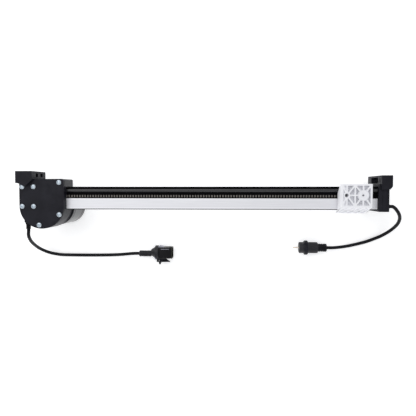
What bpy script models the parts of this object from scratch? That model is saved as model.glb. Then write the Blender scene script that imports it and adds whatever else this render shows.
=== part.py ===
"""A motorised grow light rail, lying on its back.

Frame: metres, +X along the rail towards the idler end, +Y towards the hanging brackets (up, when it hangs),
+Z out of the front face. The origin is under the middle of the rail, on the surface that the light lies on.
All sizes below are in millimetres and are turned into metres by MM when an object is made.
"""
import math

import bmesh
import bpy
from mathutils import Matrix, Vector

MM = 0.001
GAP = 0.3                # between pieces that touch

# Gearbox at the left end: a rectangle on a half circle
BOX_X = -290.7           # middle of the half circle
BOX_Y = -11.1
BOX_R = 41.6
BOX_TOP = 38.4
BOX_BACK = 64.0
COVER_Z = 107.0          # joint between housing and cover
COVER_FRONT = 110.0
BOX_WALL = 2.6
BOX_CORNER = 3.0

COVER_SCREWS = [(-257.7, 31.8), (-305.5, 24.2), (-326.8, 24.0), (-326.8, -11.8), (-305.5, -11.8),
                (-258.0, -26.9), (-295.6, -45.8)]
SCREW_HEAD_R = 4.6
SCREW_HEAD_H = 2.6
SCREW_SHANK_R = 2.0
SCREW_LENGTH = 13.0
BOSS_R = 4.5
BOARD_BACK = 99.0
BOARD_POSTS = [(-323.5, 6.5), (-312.0, 14.5)]
BOARD_POST_R = 1.8

# Belt drive
TEETH = 12
BELT_PITCH = 5.0
PITCH_R = TEETH * BELT_PITCH / (2 * math.pi)
PULLEY_R = PITCH_R - 0.85
FLANGE_R = 11.3
BELT_Y = 8.13            # pitch line of the upper run
AXIS_Y = BELT_Y - PITCH_R
DRIVE_X = -282.0
IDLER_X = 318.0
BELT_BACK = 84.0
BELT_FRONT = 94.6
BELT_IN = 0.57           # from the pitch line in to the tooth roots
BELT_OUT = 1.17          # from the pitch line out to the back
SHAFT_R = 2.5

# Gear train
MODULE = 0.6
PINION_TEETH = 14
GEAR_TEETH = 30
GEAR_CENTRES = (PINION_TEETH + GEAR_TEETH) * MODULE / 2 + 0.05
GEAR_BACK = 71.5
GEAR_FRONT = 77.5

# Motor, behind the gearbox
MOTOR_X = DRIVE_X
MOTOR_Y = AXIS_Y - GEAR_CENTRES
MOTOR_R = 34.9
MOTOR_WALL = 1.6
MOTOR_FRONT = BOX_BACK - GAP
MOTOR_SHAFT_R = 1.5
ROTOR_R = 14.0
MOTOR_SCREWS = [(MOTOR_X - 11.0, MOTOR_Y - 19.0), (MOTOR_X + 11.0, MOTOR_Y - 19.0)]

# Rail
RAIL_LEFT = BOX_X + BOX_R + GAP
RAIL_RIGHT = 314.3
RAIL_BOTTOM = -17.5
RAIL_TOP = 24.3
RAIL_BACK = 68.0
RAIL_FRONT = 98.0
SLOT_BOTTOM = 3.0
SLOT_TOP = 10.0
LED_WALLS = (71.5, 84.5)  # the channel that holds the lights, along Z

# Carriage
CAR_LEFT = 243.7
CAR_RIGHT = 295.8
CAR_TOP = 28.6
CAR_BOTTOM = -11.6
CAR_FRONT = 130.0
CAR_BACK = RAIL_FRONT + 2.6
CAR_SLOPE_Z = 119.0      # the back slopes from here at the top
CAR_SLOPE_Y = 12.0       # down to CAR_BACK at this height
CAR_LIP_Y = -23.6        # the lip that hooks under the rail
CAR_LIP_BACK = 88.5
CAR_WALL = 2.4
CAR_FLOOR = 122.0        # bottom of the front pockets
RIB_HALF = 1.2           # half the thickness of the ribs between them
CAR_BOSSES = [(253.0, 3.1, 5.6), (280.6, 1.8, 9.4)]  # x, hole radius, boss radius
CAR_BOSS_Y = 8.9

# Brackets
HOOK_LEFT = -336.5
HOOK_RIGHT = -305.6
HOOK_TOP = 52.7
HOOK_FRONT = 116.0
HOOK_BACK = 58.0
HOOK_SCREW_X = -321.0
HOOK_SCREWS_Z = (85.5, 103.2)
HOOK_SLOTS_Z = (75.5, 94.5)
END_LEFT = 314.6
END_RIGHT = 332.5
END_BOTTOM = -20.5
END_TOP = 28.5
END_FRONT = 105.0
ARM_LEFT = 317.7
ARM_RIGHT = 336.5
ARM_TOP = 43.8
ARM_FRONT = 110.0
ARM_BACK = 31.0
END_SCREWS = [(-14.9, 91.0), (19.4, 71.2)]  # y, z

# Cords and what is on them
CORD_R = 3.2
CORD_STEP = 9.0
GLAND_X = -329.5
GLAND_Z = 82.0
GLAND_TOP = -44.0
GLAND_END = -55.6
RELIEF_Y = -12.5
RELIEF_Z = 60.0
RELIEF_END = 348.8
SOCKET_Y = -108.4
GRIP_Y = -110.8          # the grip sits a little lower than the shroud
SOCKET_Z = 14.6
SOCKET_START = -131.0
SOCKET_END = -63.5
LATCH_X = -90.0
LATCH_Y = -124.6
LATCH_HALF = 4.0         # half the latch's width
PLUG_Y = -96.2
PLUG_Z = 14.6
PLUG_START = 243.5
PLUG_END = 189.4
LEFT_ROUTE = [(-329.5, -55.9, 82), (-329.5, -60.5, 82), (-330.3, -65, 81.1), (-331.7, -70.5, 77.3),
              (-333.2, -77, 69.5), (-334.7, -83, 60), (-335.8, -89.2, 48), (-336.2, -95, 36),
              (-334.8, -100.7, 25), (-331.2, -105.7, 16), (-325.4, -110, 9.5), (-317.8, -113.2, 5.5),
              (-307, -115.4, 3.7), (-295, -116.7, 3.3), (-265, -117, 3.3), (-231, -116.9, 3.3),
              (-197, -116.2, 3.8), (-176, -114.9, 6.4), (-158, -112.8, 10.6), (-145, -111.2, 13.8),
              (-137, -110.8, 14.6), (-131.3, -110.8, 14.6)]
RIGHT_ROUTE = [(349.1, -12.5, 60), (353.8, -12.5, 60), (358.2, -14.9, 59.2), (362.7, -18.9, 56.6),
               (367.3, -23.9, 53), (371.1, -29, 48.5), (373.9, -34.2, 43.3), (375.4, -39.6, 37.5),
               (375.4, -45.3, 31.5),
               (374, -50.7, 25.5), (371, -56.3, 19.3), (366.4, -62.1, 13.5), (360.3, -67.7, 8.7),
               (353, -72.7, 5.4), (344.5, -76.9, 3.8), (324, -84.9, 3.4), (302, -90.6, 4.2), (288, -93.3, 6.5), (275, -95, 9.6),
               (263, -95.9, 13), (254, -96.2, 14.6), (243.8, -96.2, 14.6)]


# ---------------------------------------------------------------- helpers

def start():
    """Empty the scene and make the two collections."""
    for obj in list(bpy.data.objects):
        bpy.data.objects.remove(obj)
    groups = []
    for name in ("grow_light_rail", "cutters"):
        group = bpy.data.collections.new(name)
        bpy.context.scene.collection.children.link(group)
        groups.append(group)
    return groups


PARTS, CUTTERS = start()


def material(name, colour, roughness, metallic=0.0):
    """A plain Principled material."""
    mat = bpy.data.materials.new(name)
    mat.use_nodes = True
    shader = mat.node_tree.nodes["Principled BSDF"]
    shader.inputs["Base Color"].default_value = (*colour, 1.0)
    shader.inputs["Roughness"].default_value = roughness
    shader.inputs["Metallic"].default_value = metallic
    return mat


BLACK = material("black_plastic", (0.025, 0.025, 0.028), 0.5)
GLOSS = material("black_gloss", (0.02, 0.02, 0.022), 0.25)
RUBBER = material("black_rubber", (0.03, 0.03, 0.03), 0.7)
WHITE = material("white_nylon", (0.85, 0.85, 0.86), 0.45)
SILVER = material("anodised_aluminium", (0.75, 0.76, 0.78), 0.35, 0.9)
STEEL = material("steel", (0.5, 0.5, 0.5), 0.3, 1.0)
ZINC = material("zinc", (0.8, 0.83, 0.87), 0.3, 0.9)
BRASS = material("brass", (0.8, 0.62, 0.3), 0.3, 1.0)
ENAMEL = material("motor_enamel", (0.03, 0.03, 0.033), 0.2)
BOARD = material("circuit_board", (0.03, 0.2, 0.08), 0.5)
LENS = material("opal_lens", (0.9, 0.9, 0.88), 0.4)


def own(obj, name, mat, group=None):
    """Name an object, give it its material and put it in its collection."""
    for old in list(obj.users_collection):
        old.objects.unlink(obj)
    (group or PARTS).objects.link(obj)
    obj.name = name
    obj.data.name = name
    if mat:
        obj.data.materials.clear()
        obj.data.materials.append(mat)
    if group is CUTTERS:
        obj.hide_render = True
        obj.display_type = "WIRE"
    return obj


def box(name, low, high, mat=None, group=None):
    """A box between two corners, from the cube primitive."""
    bpy.ops.mesh.primitive_cube_add(size=1)
    obj = bpy.context.object
    low, high = Vector(low) * MM, Vector(high) * MM
    obj.data.transform(Matrix.Diagonal((*(high - low), 1.0)))
    obj.location = (low + high) / 2
    return own(obj, name, mat, group)


TURN = {"X": (0, math.pi / 2, 0), "Y": (-math.pi / 2, 0, 0), "-Y": (math.pi / 2, 0, 0), "Z": (0, 0, 0)}


def rod(name, start_at, length, radius, axis="Z", mat=None, group=None, sides=16):
    """A cylinder whose first end is at start_at, running along +axis."""
    bpy.ops.mesh.primitive_cylinder_add(radius=radius * MM, depth=length * MM, vertices=sides)
    obj = bpy.context.object
    obj.data.transform(Matrix.Translation((0, 0, length * MM / 2)))
    obj.rotation_euler = TURN[axis]
    obj.location = Vector(start_at) * MM
    if group is not CUTTERS:
        smooth(obj)
    return own(obj, name, mat, group)


def smooth(obj, angle=40):
    """Smooth shading with sharp edges kept."""
    obj.data.shade_smooth()
    obj.data.set_sharp_from_angle(angle=math.radians(angle))


def to_mesh(obj):
    """Turn a curve or an object with modifiers into a plain closed mesh object."""
    scene = bpy.context.evaluated_depsgraph_get()
    data = bpy.data.meshes.new_from_object(obj.evaluated_get(scene))
    bm = bmesh.new()
    bm.from_mesh(data)
    bmesh.ops.remove_doubles(bm, verts=bm.verts, dist=1e-6)
    bm.to_mesh(data)
    bm.free()
    solid = bpy.data.objects.new(obj.name + "_solid", data)
    bpy.context.scene.collection.objects.link(solid)
    bpy.context.view_layer.update()
    solid.matrix_world = obj.matrix_world.copy()
    name, group = obj.name, obj.users_collection[0]
    bpy.data.objects.remove(obj)
    return own(solid, name, None, group)


def flat(name, outlines, back, front, axis="Z", mat=None, group=None):
    """Extrude flat closed outlines from back to front along an axis; inner outlines are holes.

    Along Z an outline is (x, y); along X it is (y, z); along Y it is (z, x).
    """
    curve = bpy.data.curves.new(name, "CURVE")
    curve.dimensions = "2D"
    curve.fill_mode = "BOTH"
    curve.extrude = (front - back) / 2 * MM
    for points in outlines:
        spline = curve.splines.new("POLY")
        spline.points.add(len(points) - 1)
        for point, (u, v) in zip(spline.points, points):
            point.co = (u * MM, v * MM, 0, 1)
        spline.use_cyclic_u = True
    obj = bpy.data.objects.new(name, curve)
    bpy.context.scene.collection.objects.link(obj)
    middle = (front + back) / 2 * MM
    if axis == "X":
        obj.matrix_world = Matrix(((0, 0, 1, middle), (1, 0, 0, 0), (0, 1, 0, 0), (0, 0, 0, 1)))
    elif axis == "Y":
        obj.matrix_world = Matrix(((0, 1, 0, 0), (0, 0, 1, middle), (1, 0, 0, 0), (0, 0, 0, 1)))
    else:
        obj.location = (0, 0, middle)
    own(obj, name, mat, group)
    solid = to_mesh(obj)
    if mat:
        solid.data.materials.clear()
        solid.data.materials.append(mat)
    return solid


def turned(name, profile, place, axis="Z", mat=None, group=None, sides=32):
    """A turned piece: profile is (radius, height) from top to bottom down its outer side."""
    outline = bpy.data.meshes.new(name)
    verts = [(radius * MM, 0, height * MM) for radius, height in profile]
    outline.from_pydata(verts, [(i, i + 1) for i in range(len(verts) - 1)], [])
    obj = bpy.data.objects.new(name, outline)
    bpy.context.scene.collection.objects.link(obj)
    screw = obj.modifiers.new("turn", "SCREW")
    screw.steps = screw.render_steps = sides
    screw.use_merge_vertices = True
    screw.merge_threshold = 0.00001
    screw.use_normal_calculate = False
    obj.rotation_euler = TURN[axis]
    obj.location = Vector(place) * MM
    own(obj, name, mat, group)
    solid = to_mesh(obj)
    smooth(solid, 35)
    return solid


def cut(obj, *cutters):
    """Take cutters out of an object."""
    for cutter in cutters:
        mod = obj.modifiers.new(cutter.name, "BOOLEAN")
        mod.operation = "DIFFERENCE"
        mod.object = cutter
    return obj


def join(obj, *others):
    """Join other solids to an object; they become guides."""
    for other in others:
        own(other, other.name, None, CUTTERS)
        mod = obj.modifiers.new(other.name, "BOOLEAN")
        mod.operation = "UNION"
        mod.object = other
    return obj


def bevel(obj, width, segments=2, angle=40):
    """Round the sharp edges."""
    mod = obj.modifiers.new("bevel", "BEVEL")
    mod.width = width * MM
    mod.segments = segments
    mod.limit_method = "ANGLE"
    mod.angle_limit = math.radians(angle)
    return obj


def hinge_at(obj, point):
    """Move an object's origin to a point on its joint axis without moving its shape."""
    here = obj.matrix_world.translation.copy()
    move = Vector(point) * MM - here
    obj.data.transform(obj.matrix_world.to_3x3().inverted().to_4x4() @ Matrix.Translation(-move))
    obj.location = Vector(point) * MM
    return obj


def arc(centre, radius, first, last, steps):
    """Points on an arc, angles in degrees."""
    return [(centre[0] + radius * math.cos(math.radians(first + (last - first) * i / steps)),
             centre[1] + radius * math.sin(math.radians(first + (last - first) * i / steps)))
            for i in range(steps + 1)]


def ring(centre, radius, steps=16):
    """A closed circle of points."""
    return arc(centre, radius, 0, 360, steps)[:-1]


def body_outline(inset=0.0, steps=16):
    """The gearbox outline: half circle below, rounded top corners."""
    half, top, corner = BOX_R - inset, BOX_TOP - inset, max(BOX_CORNER - inset, 0.5)
    points = arc((BOX_X, BOX_Y), half, 180, 360, steps)
    points += arc((BOX_X + half - corner, top - corner), corner, 0, 90, 3)
    points += arc((BOX_X - half + corner, top - corner), corner, 90, 180, 3)
    return points


def screw(name, place, axis="Z", head_r=SCREW_HEAD_R, head_h=SCREW_HEAD_H, shank_r=SCREW_SHANK_R,
          length=SCREW_LENGTH):
    """A pan-head screw whose head starts at place and points along +axis."""
    profile = [(0, head_h), (head_r * 0.75, head_h * 0.85), (head_r, head_h * 0.4), (head_r, 0),
               (shank_r, 0), (shank_r, -length + shank_r * 0.6), (shank_r * 0.4, -length), (0, -length)]
    return turned(name, profile, place, axis, ZINC, sides=12)


# ---------------------------------------------------------------- gearbox

def gearbox_housing():
    shell = flat("gearbox_housing", [body_outline()], BOX_BACK, COVER_Z, "Z", BLACK)
    floor = BOX_BACK + BOX_WALL
    cut(shell, flat("housing_cavity", [body_outline(BOX_WALL)], floor, COVER_Z + 1, "Z", None, CUTTERS))
    for i, (x, y) in enumerate(COVER_SCREWS):
        join(shell, rod(f"boss_{i}", (x, y, floor - 1), COVER_Z - floor + 1, BOSS_R, sides=12))
    for i, (x, y) in enumerate(BOARD_POSTS):
        join(shell, rod(f"board_post_{i}", (x, y, floor - 1), BOARD_BACK - GAP - floor + 1, BOARD_POST_R,
                        sides=8))
    join(shell, rod("bearing_seat", (DRIVE_X, AXIS_Y, floor - 1), 4.4, 7.6))
    join(shell, rod("cable_boss", (GLAND_X, GLAND_TOP + GAP, GLAND_Z), 26, 7.0, "Y"))
    for i, (x, y) in enumerate(COVER_SCREWS):
        cut(shell, rod(f"boss_hole_{i}", (x, y, COVER_Z - 12), 14, SCREW_SHANK_R + GAP, "Z", None,
                       CUTTERS, 12))
    cut(shell, rod("rear_bearing_hole", (DRIVE_X, AXIS_Y, floor + 0.2), 6, 5.5 + GAP, "Z", None, CUTTERS))
    cut(shell, rod("pinion_hole", (MOTOR_X, MOTOR_Y, BOX_BACK - 1), 5, 5.1, "Z", None, CUTTERS))
    for i, (x, y) in enumerate(MOTOR_SCREWS):
        cut(shell, rod(f"motor_hole_{i}", (x, y, BOX_BACK - 1), 5, 1.5 + GAP, "Z", None, CUTTERS, 12))
    right = BOX_X + BOX_R
    cut(shell, box("belt_window", (right - 4, -13.6, 81), (right + 1, 10.8, 97), None, CUTTERS))
    cut(shell, rod("cable_bore", (GLAND_X, GLAND_TOP - 1, GLAND_Z), 14, CORD_R + 0.8, "Y", None, CUTTERS))
    for i, z in enumerate(HOOK_SCREWS_Z):
        cut(shell, rod(f"hook_hole_{i}", (HOOK_SCREW_X, BOX_TOP - 4, z), 6, 1.5 + GAP, "Y", None, CUTTERS, 12))
    return shell


def front_cover():
    cover = flat("front_cover", [body_outline()], COVER_Z + GAP, COVER_FRONT, "Z", BLACK)
    bevel(cover, 0.7, 1)
    seat = flat("front_bearing_seat", [ring((DRIVE_X, AXIS_Y), 7.6)], 99.5, COVER_Z + 1, "Z")
    join(cover, seat)
    for i, (x, y) in enumerate(COVER_SCREWS):
        cut(cover, rod(f"cover_hole_{i}", (x, y, COVER_Z - 1), 6, SCREW_SHANK_R + GAP, "Z", None,
                       CUTTERS, 12))
    cut(cover, rod("front_bearing_hole", (DRIVE_X, AXIS_Y, 99), 6.5, 5.5 + GAP, "Z", None, CUTTERS))
    return cover


def cover_screws():
    for i, (x, y) in enumerate(COVER_SCREWS):
        screw(f"cover_screw_{i + 1}", (x, y, COVER_FRONT + GAP))


def hook_screws():
    for i, z in enumerate(HOOK_SCREWS_Z):
        screw(f"hook_screw_{i + 1}", (HOOK_SCREW_X, BOX_TOP - BOX_WALL - GAP, z), "-Y", 2.8, 1.8, 1.5, 11.0)


def bearing(name, place, outer, inner, width):
    """A closed ball bearing, as one ring with rounded shoulders."""
    profile = [(inner, width), (outer - 0.3, width), (outer, width - 0.3), (outer, 0.3), (outer - 0.3, 0),
               (inner, 0), (inner, width)]
    return turned(name, profile, place, "Z", STEEL, sides=16)


def involute_gear(name, teeth, bore, centre, back, front, phase, mat):
    """A spur gear with involute flanks and short teeth, so a small pinion runs free."""
    pressure = math.radians(20)
    pitch = teeth * MODULE / 2
    base = pitch * math.cos(pressure)
    tip = pitch + 0.8 * MODULE
    root = pitch - 1.1 * MODULE
    half = math.pi / (2 * teeth) - 0.10 / pitch
    involute = math.tan(pressure) - pressure

    def flank(radius):
        roll = math.acos(min(base / max(radius, base), 1.0))
        return half + involute - (math.tan(roll) - roll)

    radii = [root, pitch, tip]
    points = []
    for tooth in range(teeth):
        middle = phase + tooth * 2 * math.pi / teeth
        rise = [(r, middle - flank(r)) for r in radii]
        fall = [(r, middle + flank(r)) for r in reversed(radii)]
        points += [(centre[0] + r * math.cos(a), centre[1] + r * math.sin(a)) for r, a in rise + fall]
    gear = flat(name, [points, ring(centre, bore)], back, front, "Z", mat)
    return hinge_at(gear, (*centre, (back + front) / 2))


def pulley(name, x, bore):
    """A toothed belt pulley with two flanges."""
    groove = 2.0
    points = []
    for tooth in range(TEETH):
        middle = tooth * 2 * math.pi / TEETH
        for offset, radius in ((-9, PULLEY_R - groove), (-6.5, PULLEY_R), (6.5, PULLEY_R),
                               (9, PULLEY_R - groove)):
            angle = middle + math.radians(offset)
            points.append((x + radius * math.cos(angle), AXIS_Y + radius * math.sin(angle)))
    drum = flat(name, [points], BELT_BACK - 1.4, BELT_FRONT + 1.0, "Z", BLACK)
    for side, back in (("back", BELT_BACK - 1.5), ("front", BELT_FRONT + GAP)):
        join(drum, rod(f"{name}_{side}_flange", (x, AXIS_Y, back), 0.9, FLANGE_R, sides=20))
    cut(drum, rod(f"{name}_bore", (x, AXIS_Y, BELT_BACK - 3), 16, bore, "Z", None, CUTTERS, 12))
    return hinge_at(drum, (x, AXIS_Y, (BELT_BACK + BELT_FRONT) / 2))


def drive_shaft():
    shaft = turned("drive_shaft", [(0, 105), (SHAFT_R - 0.4, 105), (SHAFT_R, 104.6), (SHAFT_R, 67.6),
                                   (SHAFT_R - 0.4, 67.2), (0, 67.2)],
                   (DRIVE_X, AXIS_Y, 0), "Z", STEEL, sides=12)
    return hinge_at(shaft, (DRIVE_X, AXIS_Y, 86))


def control_board():
    """The board stands on two posts of the housing."""
    front = BOARD_BACK + 1.6
    board = box("control_board", (-326.5, 4, BOARD_BACK), (-309, 17, front), BOARD)
    for i, (x, y, w, h, t) in enumerate(((-322, 10, 5, 8, 3), (-314.5, 12, 6, 5, 2))):
        low = (x - w / 2, y - h / 2, front - 0.3)
        join(board, box(f"board_chip_{i}", low, (x + w / 2, y + h / 2, front + t)))
    return board


# ---------------------------------------------------------------- motor

def motor_can():
    front, wall = MOTOR_FRONT, MOTOR_WALL
    profile = [(4.6, front), (MOTOR_R - 1.5, front), (MOTOR_R, front - 1.5), (MOTOR_R, 4.0),
               (MOTOR_R - wall, 4.0), (MOTOR_R - wall, front - 2.4), (4.6, front - 2.4), (4.6, front)]
    can = turned("motor_can", profile, (MOTOR_X, MOTOR_Y, 0), "Z", ENAMEL, sides=32)
    for i, (x, y) in enumerate(MOTOR_SCREWS):
        cut(can, rod(f"can_hole_{i}", (x, y, front - 4), 6, 1.5 + GAP, "Z", None, CUTTERS, 12))
    return can


def motor_end_cap():
    inner = MOTOR_R - MOTOR_WALL - GAP
    profile = [(0, 2.2), (5.4, 2.2), (5.4, 7.0), (8.0, 7.0), (8.0, 2.4), (inner - 2, 2.4), (inner - 2, 7.0),
               (inner, 7.0), (inner, 3.7), (MOTOR_R, 3.7), (MOTOR_R, 1.8), (MOTOR_R - 1.8, 0), (0, 0)]
    return turned("motor_end_cap", profile, (MOTOR_X, MOTOR_Y, 0), "Z", ENAMEL, sides=32)


def motor_inside():
    stator_r = MOTOR_R - MOTOR_WALL - GAP
    turned("motor_stator", [(ROTOR_R + 0.8, 48), (stator_r, 48), (stator_r, 18), (ROTOR_R + 0.8, 18),
                            (ROTOR_R + 0.8, 48)], (MOTOR_X, MOTOR_Y, 0), "Z", STEEL, sides=24)
    rotor = turned("motor_rotor", [(0, 79), (MOTOR_SHAFT_R, 79), (MOTOR_SHAFT_R, 45), (ROTOR_R, 45),
                                   (ROTOR_R, 21), (MOTOR_SHAFT_R, 21), (MOTOR_SHAFT_R, 3.4), (0, 3.4)],
                   (MOTOR_X, MOTOR_Y, 0), "Z", STEEL, sides=16)
    hinge_at(rotor, (MOTOR_X, MOTOR_Y, 33))
    bearing("motor_rear_bearing", (MOTOR_X, MOTOR_Y, 2.6), 5.4 - GAP, MOTOR_SHAFT_R + GAP, 4.0)
    bearing("motor_front_bearing", (MOTOR_X, MOTOR_Y, MOTOR_FRONT - 2.6), 4.6 - GAP, MOTOR_SHAFT_R + GAP, 2.6)
    for i, (x, y) in enumerate(MOTOR_SCREWS):
        screw(f"motor_screw_{i + 1}", (x, y, BOX_BACK + BOX_WALL + GAP), "Z", 2.8, 1.8, 1.5, 8.0)


# ---------------------------------------------------------------- rail

def rail_extrusion():
    low, front, back = RAIL_BOTTOM, RAIL_FRONT, RAIL_BACK
    channel_back, channel_front = LED_WALLS
    outline = [(SLOT_BOTTOM - 0.5, front), (low + 0.8, front), (low, front - 0.8), (low, channel_front),
               (-14.0, channel_front), (-14.0, channel_back), (low, channel_back), (low, back), (22.3, back),
               (22.3, 80), (20.6, 80), (20.6, 73.6), (16.6, 73.6), (16.6, 69.8), (-12.6, 69.8),
               (-12.6, front - 1.8), (SLOT_BOTTOM, front - 1.8), (SLOT_BOTTOM, front - 0.5)]
    rail = flat("rail_extrusion", [outline], RAIL_LEFT, RAIL_RIGHT, "X", SILVER)
    for i, (y, z) in enumerate(END_SCREWS):
        cut(rail, rod(f"rail_screw_hole_{i}", (RAIL_RIGHT - 16, y, z), 20, 1.4 + GAP, "X", None,
                      CUTTERS, 12))
    return rail


def rail_cover():
    """The black strip over the top of the rail, with its rounded front band."""
    top = RAIL_TOP
    band = [(17.3 + 2.9 * math.cos(math.radians(a)), RAIL_FRONT + 2.2 * math.sin(math.radians(a)))
            for a in range(0, 181, 20)]
    outline = [(top, RAIL_BACK), (top, RAIL_FRONT - 0.6), (top - 0.6, RAIL_FRONT), (22.2, RAIL_FRONT),
               (21.9, RAIL_FRONT - 1.0), (20.9, RAIL_FRONT - 1.0)] + band
    outline += [(13.6, RAIL_FRONT - 1.2), (SLOT_TOP + 0.4, RAIL_FRONT - 1.2), (SLOT_TOP, RAIL_FRONT - 1.6),
                (SLOT_TOP, RAIL_FRONT - 2.6), (22.6, RAIL_FRONT - 2.6), (22.6, RAIL_BACK)]
    return flat("rail_cover", [outline], RAIL_LEFT, RAIL_RIGHT, "X", GLOSS)


def lights():
    back, front = LED_WALLS
    box("led_board", (RAIL_LEFT + 2, -15.3, back + GAP), (RAIL_RIGHT - 2, -14.3, front - GAP), BOARD)
    box("led_diffuser", (RAIL_LEFT + 0.5, RAIL_BOTTOM, back + GAP),
        (RAIL_RIGHT - 0.5, RAIL_BOTTOM + 0.9, front - GAP), LENS)


def drive_belt():
    """The belt as a plain band: its teeth reach into the pulleys' grooves."""
    def loop(radius, steps):
        right = arc((IDLER_X, AXIS_Y), radius, -90, 90, steps)
        left = arc((DRIVE_X, AXIS_Y), radius, 90, 270, steps)
        return right + left
    loops = [loop(PITCH_R + BELT_OUT, 12), loop(PITCH_R - BELT_IN, 12)]
    return flat("drive_belt", loops, BELT_BACK, BELT_FRONT, "Z", RUBBER)


# ---------------------------------------------------------------- carriage

def carriage_body():
    """A white moulded block with a ribbed front, a sloping back and a lip that hooks under the rail."""
    under = RAIL_BOTTOM - GAP
    side = [(CAR_SLOPE_Y, CAR_BACK), (CAR_TOP, CAR_SLOPE_Z), (CAR_TOP, CAR_FRONT), (CAR_BOTTOM, CAR_FRONT),
            (CAR_LIP_Y, 91.0), (CAR_LIP_Y, CAR_LIP_BACK), (under - 1.6, CAR_LIP_BACK), (under - 1.6, CAR_BACK)]
    block = flat("carriage_body", [side], CAR_LEFT, CAR_RIGHT, "X", WHITE)
    pockets = carriage_pockets()
    cut(block, *pockets)
    for i, (x, hole, _) in enumerate(CAR_BOSSES):
        cut(block, rod(f"boss_bore_{i}", (x, CAR_BOSS_Y, CAR_BACK - 1), 40, hole, "Z", None, CUTTERS, 20))
    return block


def shrink(points, inset):
    """Move the edges of a convex outline inwards by inset."""
    count = len(points)
    turns = points[1:] + points[:1]
    area = sum(here[0] * after[1] - after[0] * here[1] for here, after in zip(points, turns))
    sign = 1 if area > 0 else -1
    moved = []
    for i in range(count):
        before, here, after = Vector(points[i - 1]), Vector(points[i]), Vector(points[(i + 1) % count])
        a, b = (here - before).normalized(), (after - here).normalized()
        normal_a, normal_b = Vector((-a.y, a.x)) * sign, Vector((-b.y, b.x)) * sign
        across = normal_a + normal_b
        moved.append(tuple(here + across * (inset / max(1e-6, 1 + normal_a.dot(normal_b)))))
    return moved


def carriage_pockets():
    """The triangular pockets between the ribs of the front face."""
    left, right = CAR_LEFT + CAR_WALL, CAR_RIGHT - CAR_WALL
    low, high = CAR_BOTTOM + CAR_WALL, CAR_TOP - CAR_WALL
    (xa, _, _), (xb, _, _) = CAR_BOSSES
    mid, y = (xa + xb) / 2, CAR_BOSS_Y
    cells = [[(xa, y), (mid, high), (xa, high)], [(xa, y), (mid, low), (xa, low)],
             [(xb, y), (mid, high), (xb, high)], [(xb, y), (mid, low), (xb, low)],
             [(xa, y), (mid, y), (mid, high)], [(xa, y), (mid, y), (mid, low)],
             [(xb, y), (mid, y), (mid, high)], [(xb, y), (mid, y), (mid, low)],
             [(xb, y), (xb, high), (right, high)], [(xb, y), (right, high), (right, low)],
             [(xb, y), (xb, low), (right, low)],
             [(xa, y), (xa, high), (left, high)], [(xa, y), (xa, low), (left, low)]]
    solids = [flat(f"pocket_{i}", [shrink(cell, RIB_HALF)], CAR_FLOOR, CAR_FRONT + 1, "Z", None, CUTTERS)
              for i, cell in enumerate(cells)]
    deep = CAR_FRONT - CAR_FLOOR + 3
    keep = [rod(f"boss_keep_{i}", (x, y, CAR_FLOOR - 1), deep, boss, "Z", None, CUTTERS, 24)
            for i, (x, _, boss) in enumerate(CAR_BOSSES)]
    for solid in solids:
        cut(solid, *keep)
    return solids


def belt_clamp():
    """Grips the upper run of the belt through the slot."""
    left, right = 250.0, 286.0
    back = BELT_BACK + 1
    outline = [(4.2, CAR_BACK - GAP), (9.6, CAR_BACK - GAP), (9.6, 95.2), (11.4, 95.2), (11.4, back),
               (9.6, back), (9.6, BELT_FRONT + GAP), (7.2, BELT_FRONT + GAP), (7.2, back), (3.4, back),
               (3.4, 96.0), (4.2, 96.0)]
    return flat("belt_clamp", [outline], left, right, "X", STEEL)


def slide_pads():
    under = RAIL_BOTTOM - GAP
    left, right = CAR_LEFT + 4, CAR_RIGHT - 4
    box("slide_pad_lower", (left, under - 1.3, CAR_LIP_BACK), (right, under, RAIL_FRONT), RUBBER)
    box("slide_pad_front", (left, -13, RAIL_FRONT + GAP), (right, 1.5, CAR_BACK - GAP), RUBBER)


# ---------------------------------------------------------------- brackets

def left_hook_bracket():
    front = [(HOOK_LEFT, HOOK_TOP), (HOOK_LEFT, 31.0), (-331.0, 30.2), (-319.0, 25.0), (HOOK_RIGHT, 36.6),
             (HOOK_RIGHT, HOOK_TOP)]
    nose = flat("left_hook_bracket", [front], COVER_FRONT + GAP, HOOK_FRONT, "Z", BLACK)
    join(nose, box("hook_arm", (HOOK_LEFT, BOX_TOP + GAP, HOOK_BACK), (HOOK_RIGHT, HOOK_TOP, HOOK_FRONT - 1)))
    room = SCREW_HEAD_H + 2 * GAP
    for i, (x, y) in enumerate(COVER_SCREWS[1:3]):
        cut(nose, rod(f"head_room_{i}", (x, y, COVER_FRONT), room, SCREW_HEAD_R + GAP, "Z", None, CUTTERS))
    for i, z in enumerate(HOOK_SLOTS_Z):
        low = (HOOK_LEFT - 1, 42.4, z - 4.5)
        cut(nose, box(f"hook_slot_{i}", low, (HOOK_RIGHT + 1, 49.0, z + 4.5), None, CUTTERS))
    for i, z in enumerate(HOOK_SCREWS_Z):
        cut(nose, rod(f"hook_thread_{i}", (HOOK_SCREW_X, BOX_TOP, z), 9, 1.5 + GAP, "Y", None, CUTTERS, 12))
    return nose


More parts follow.
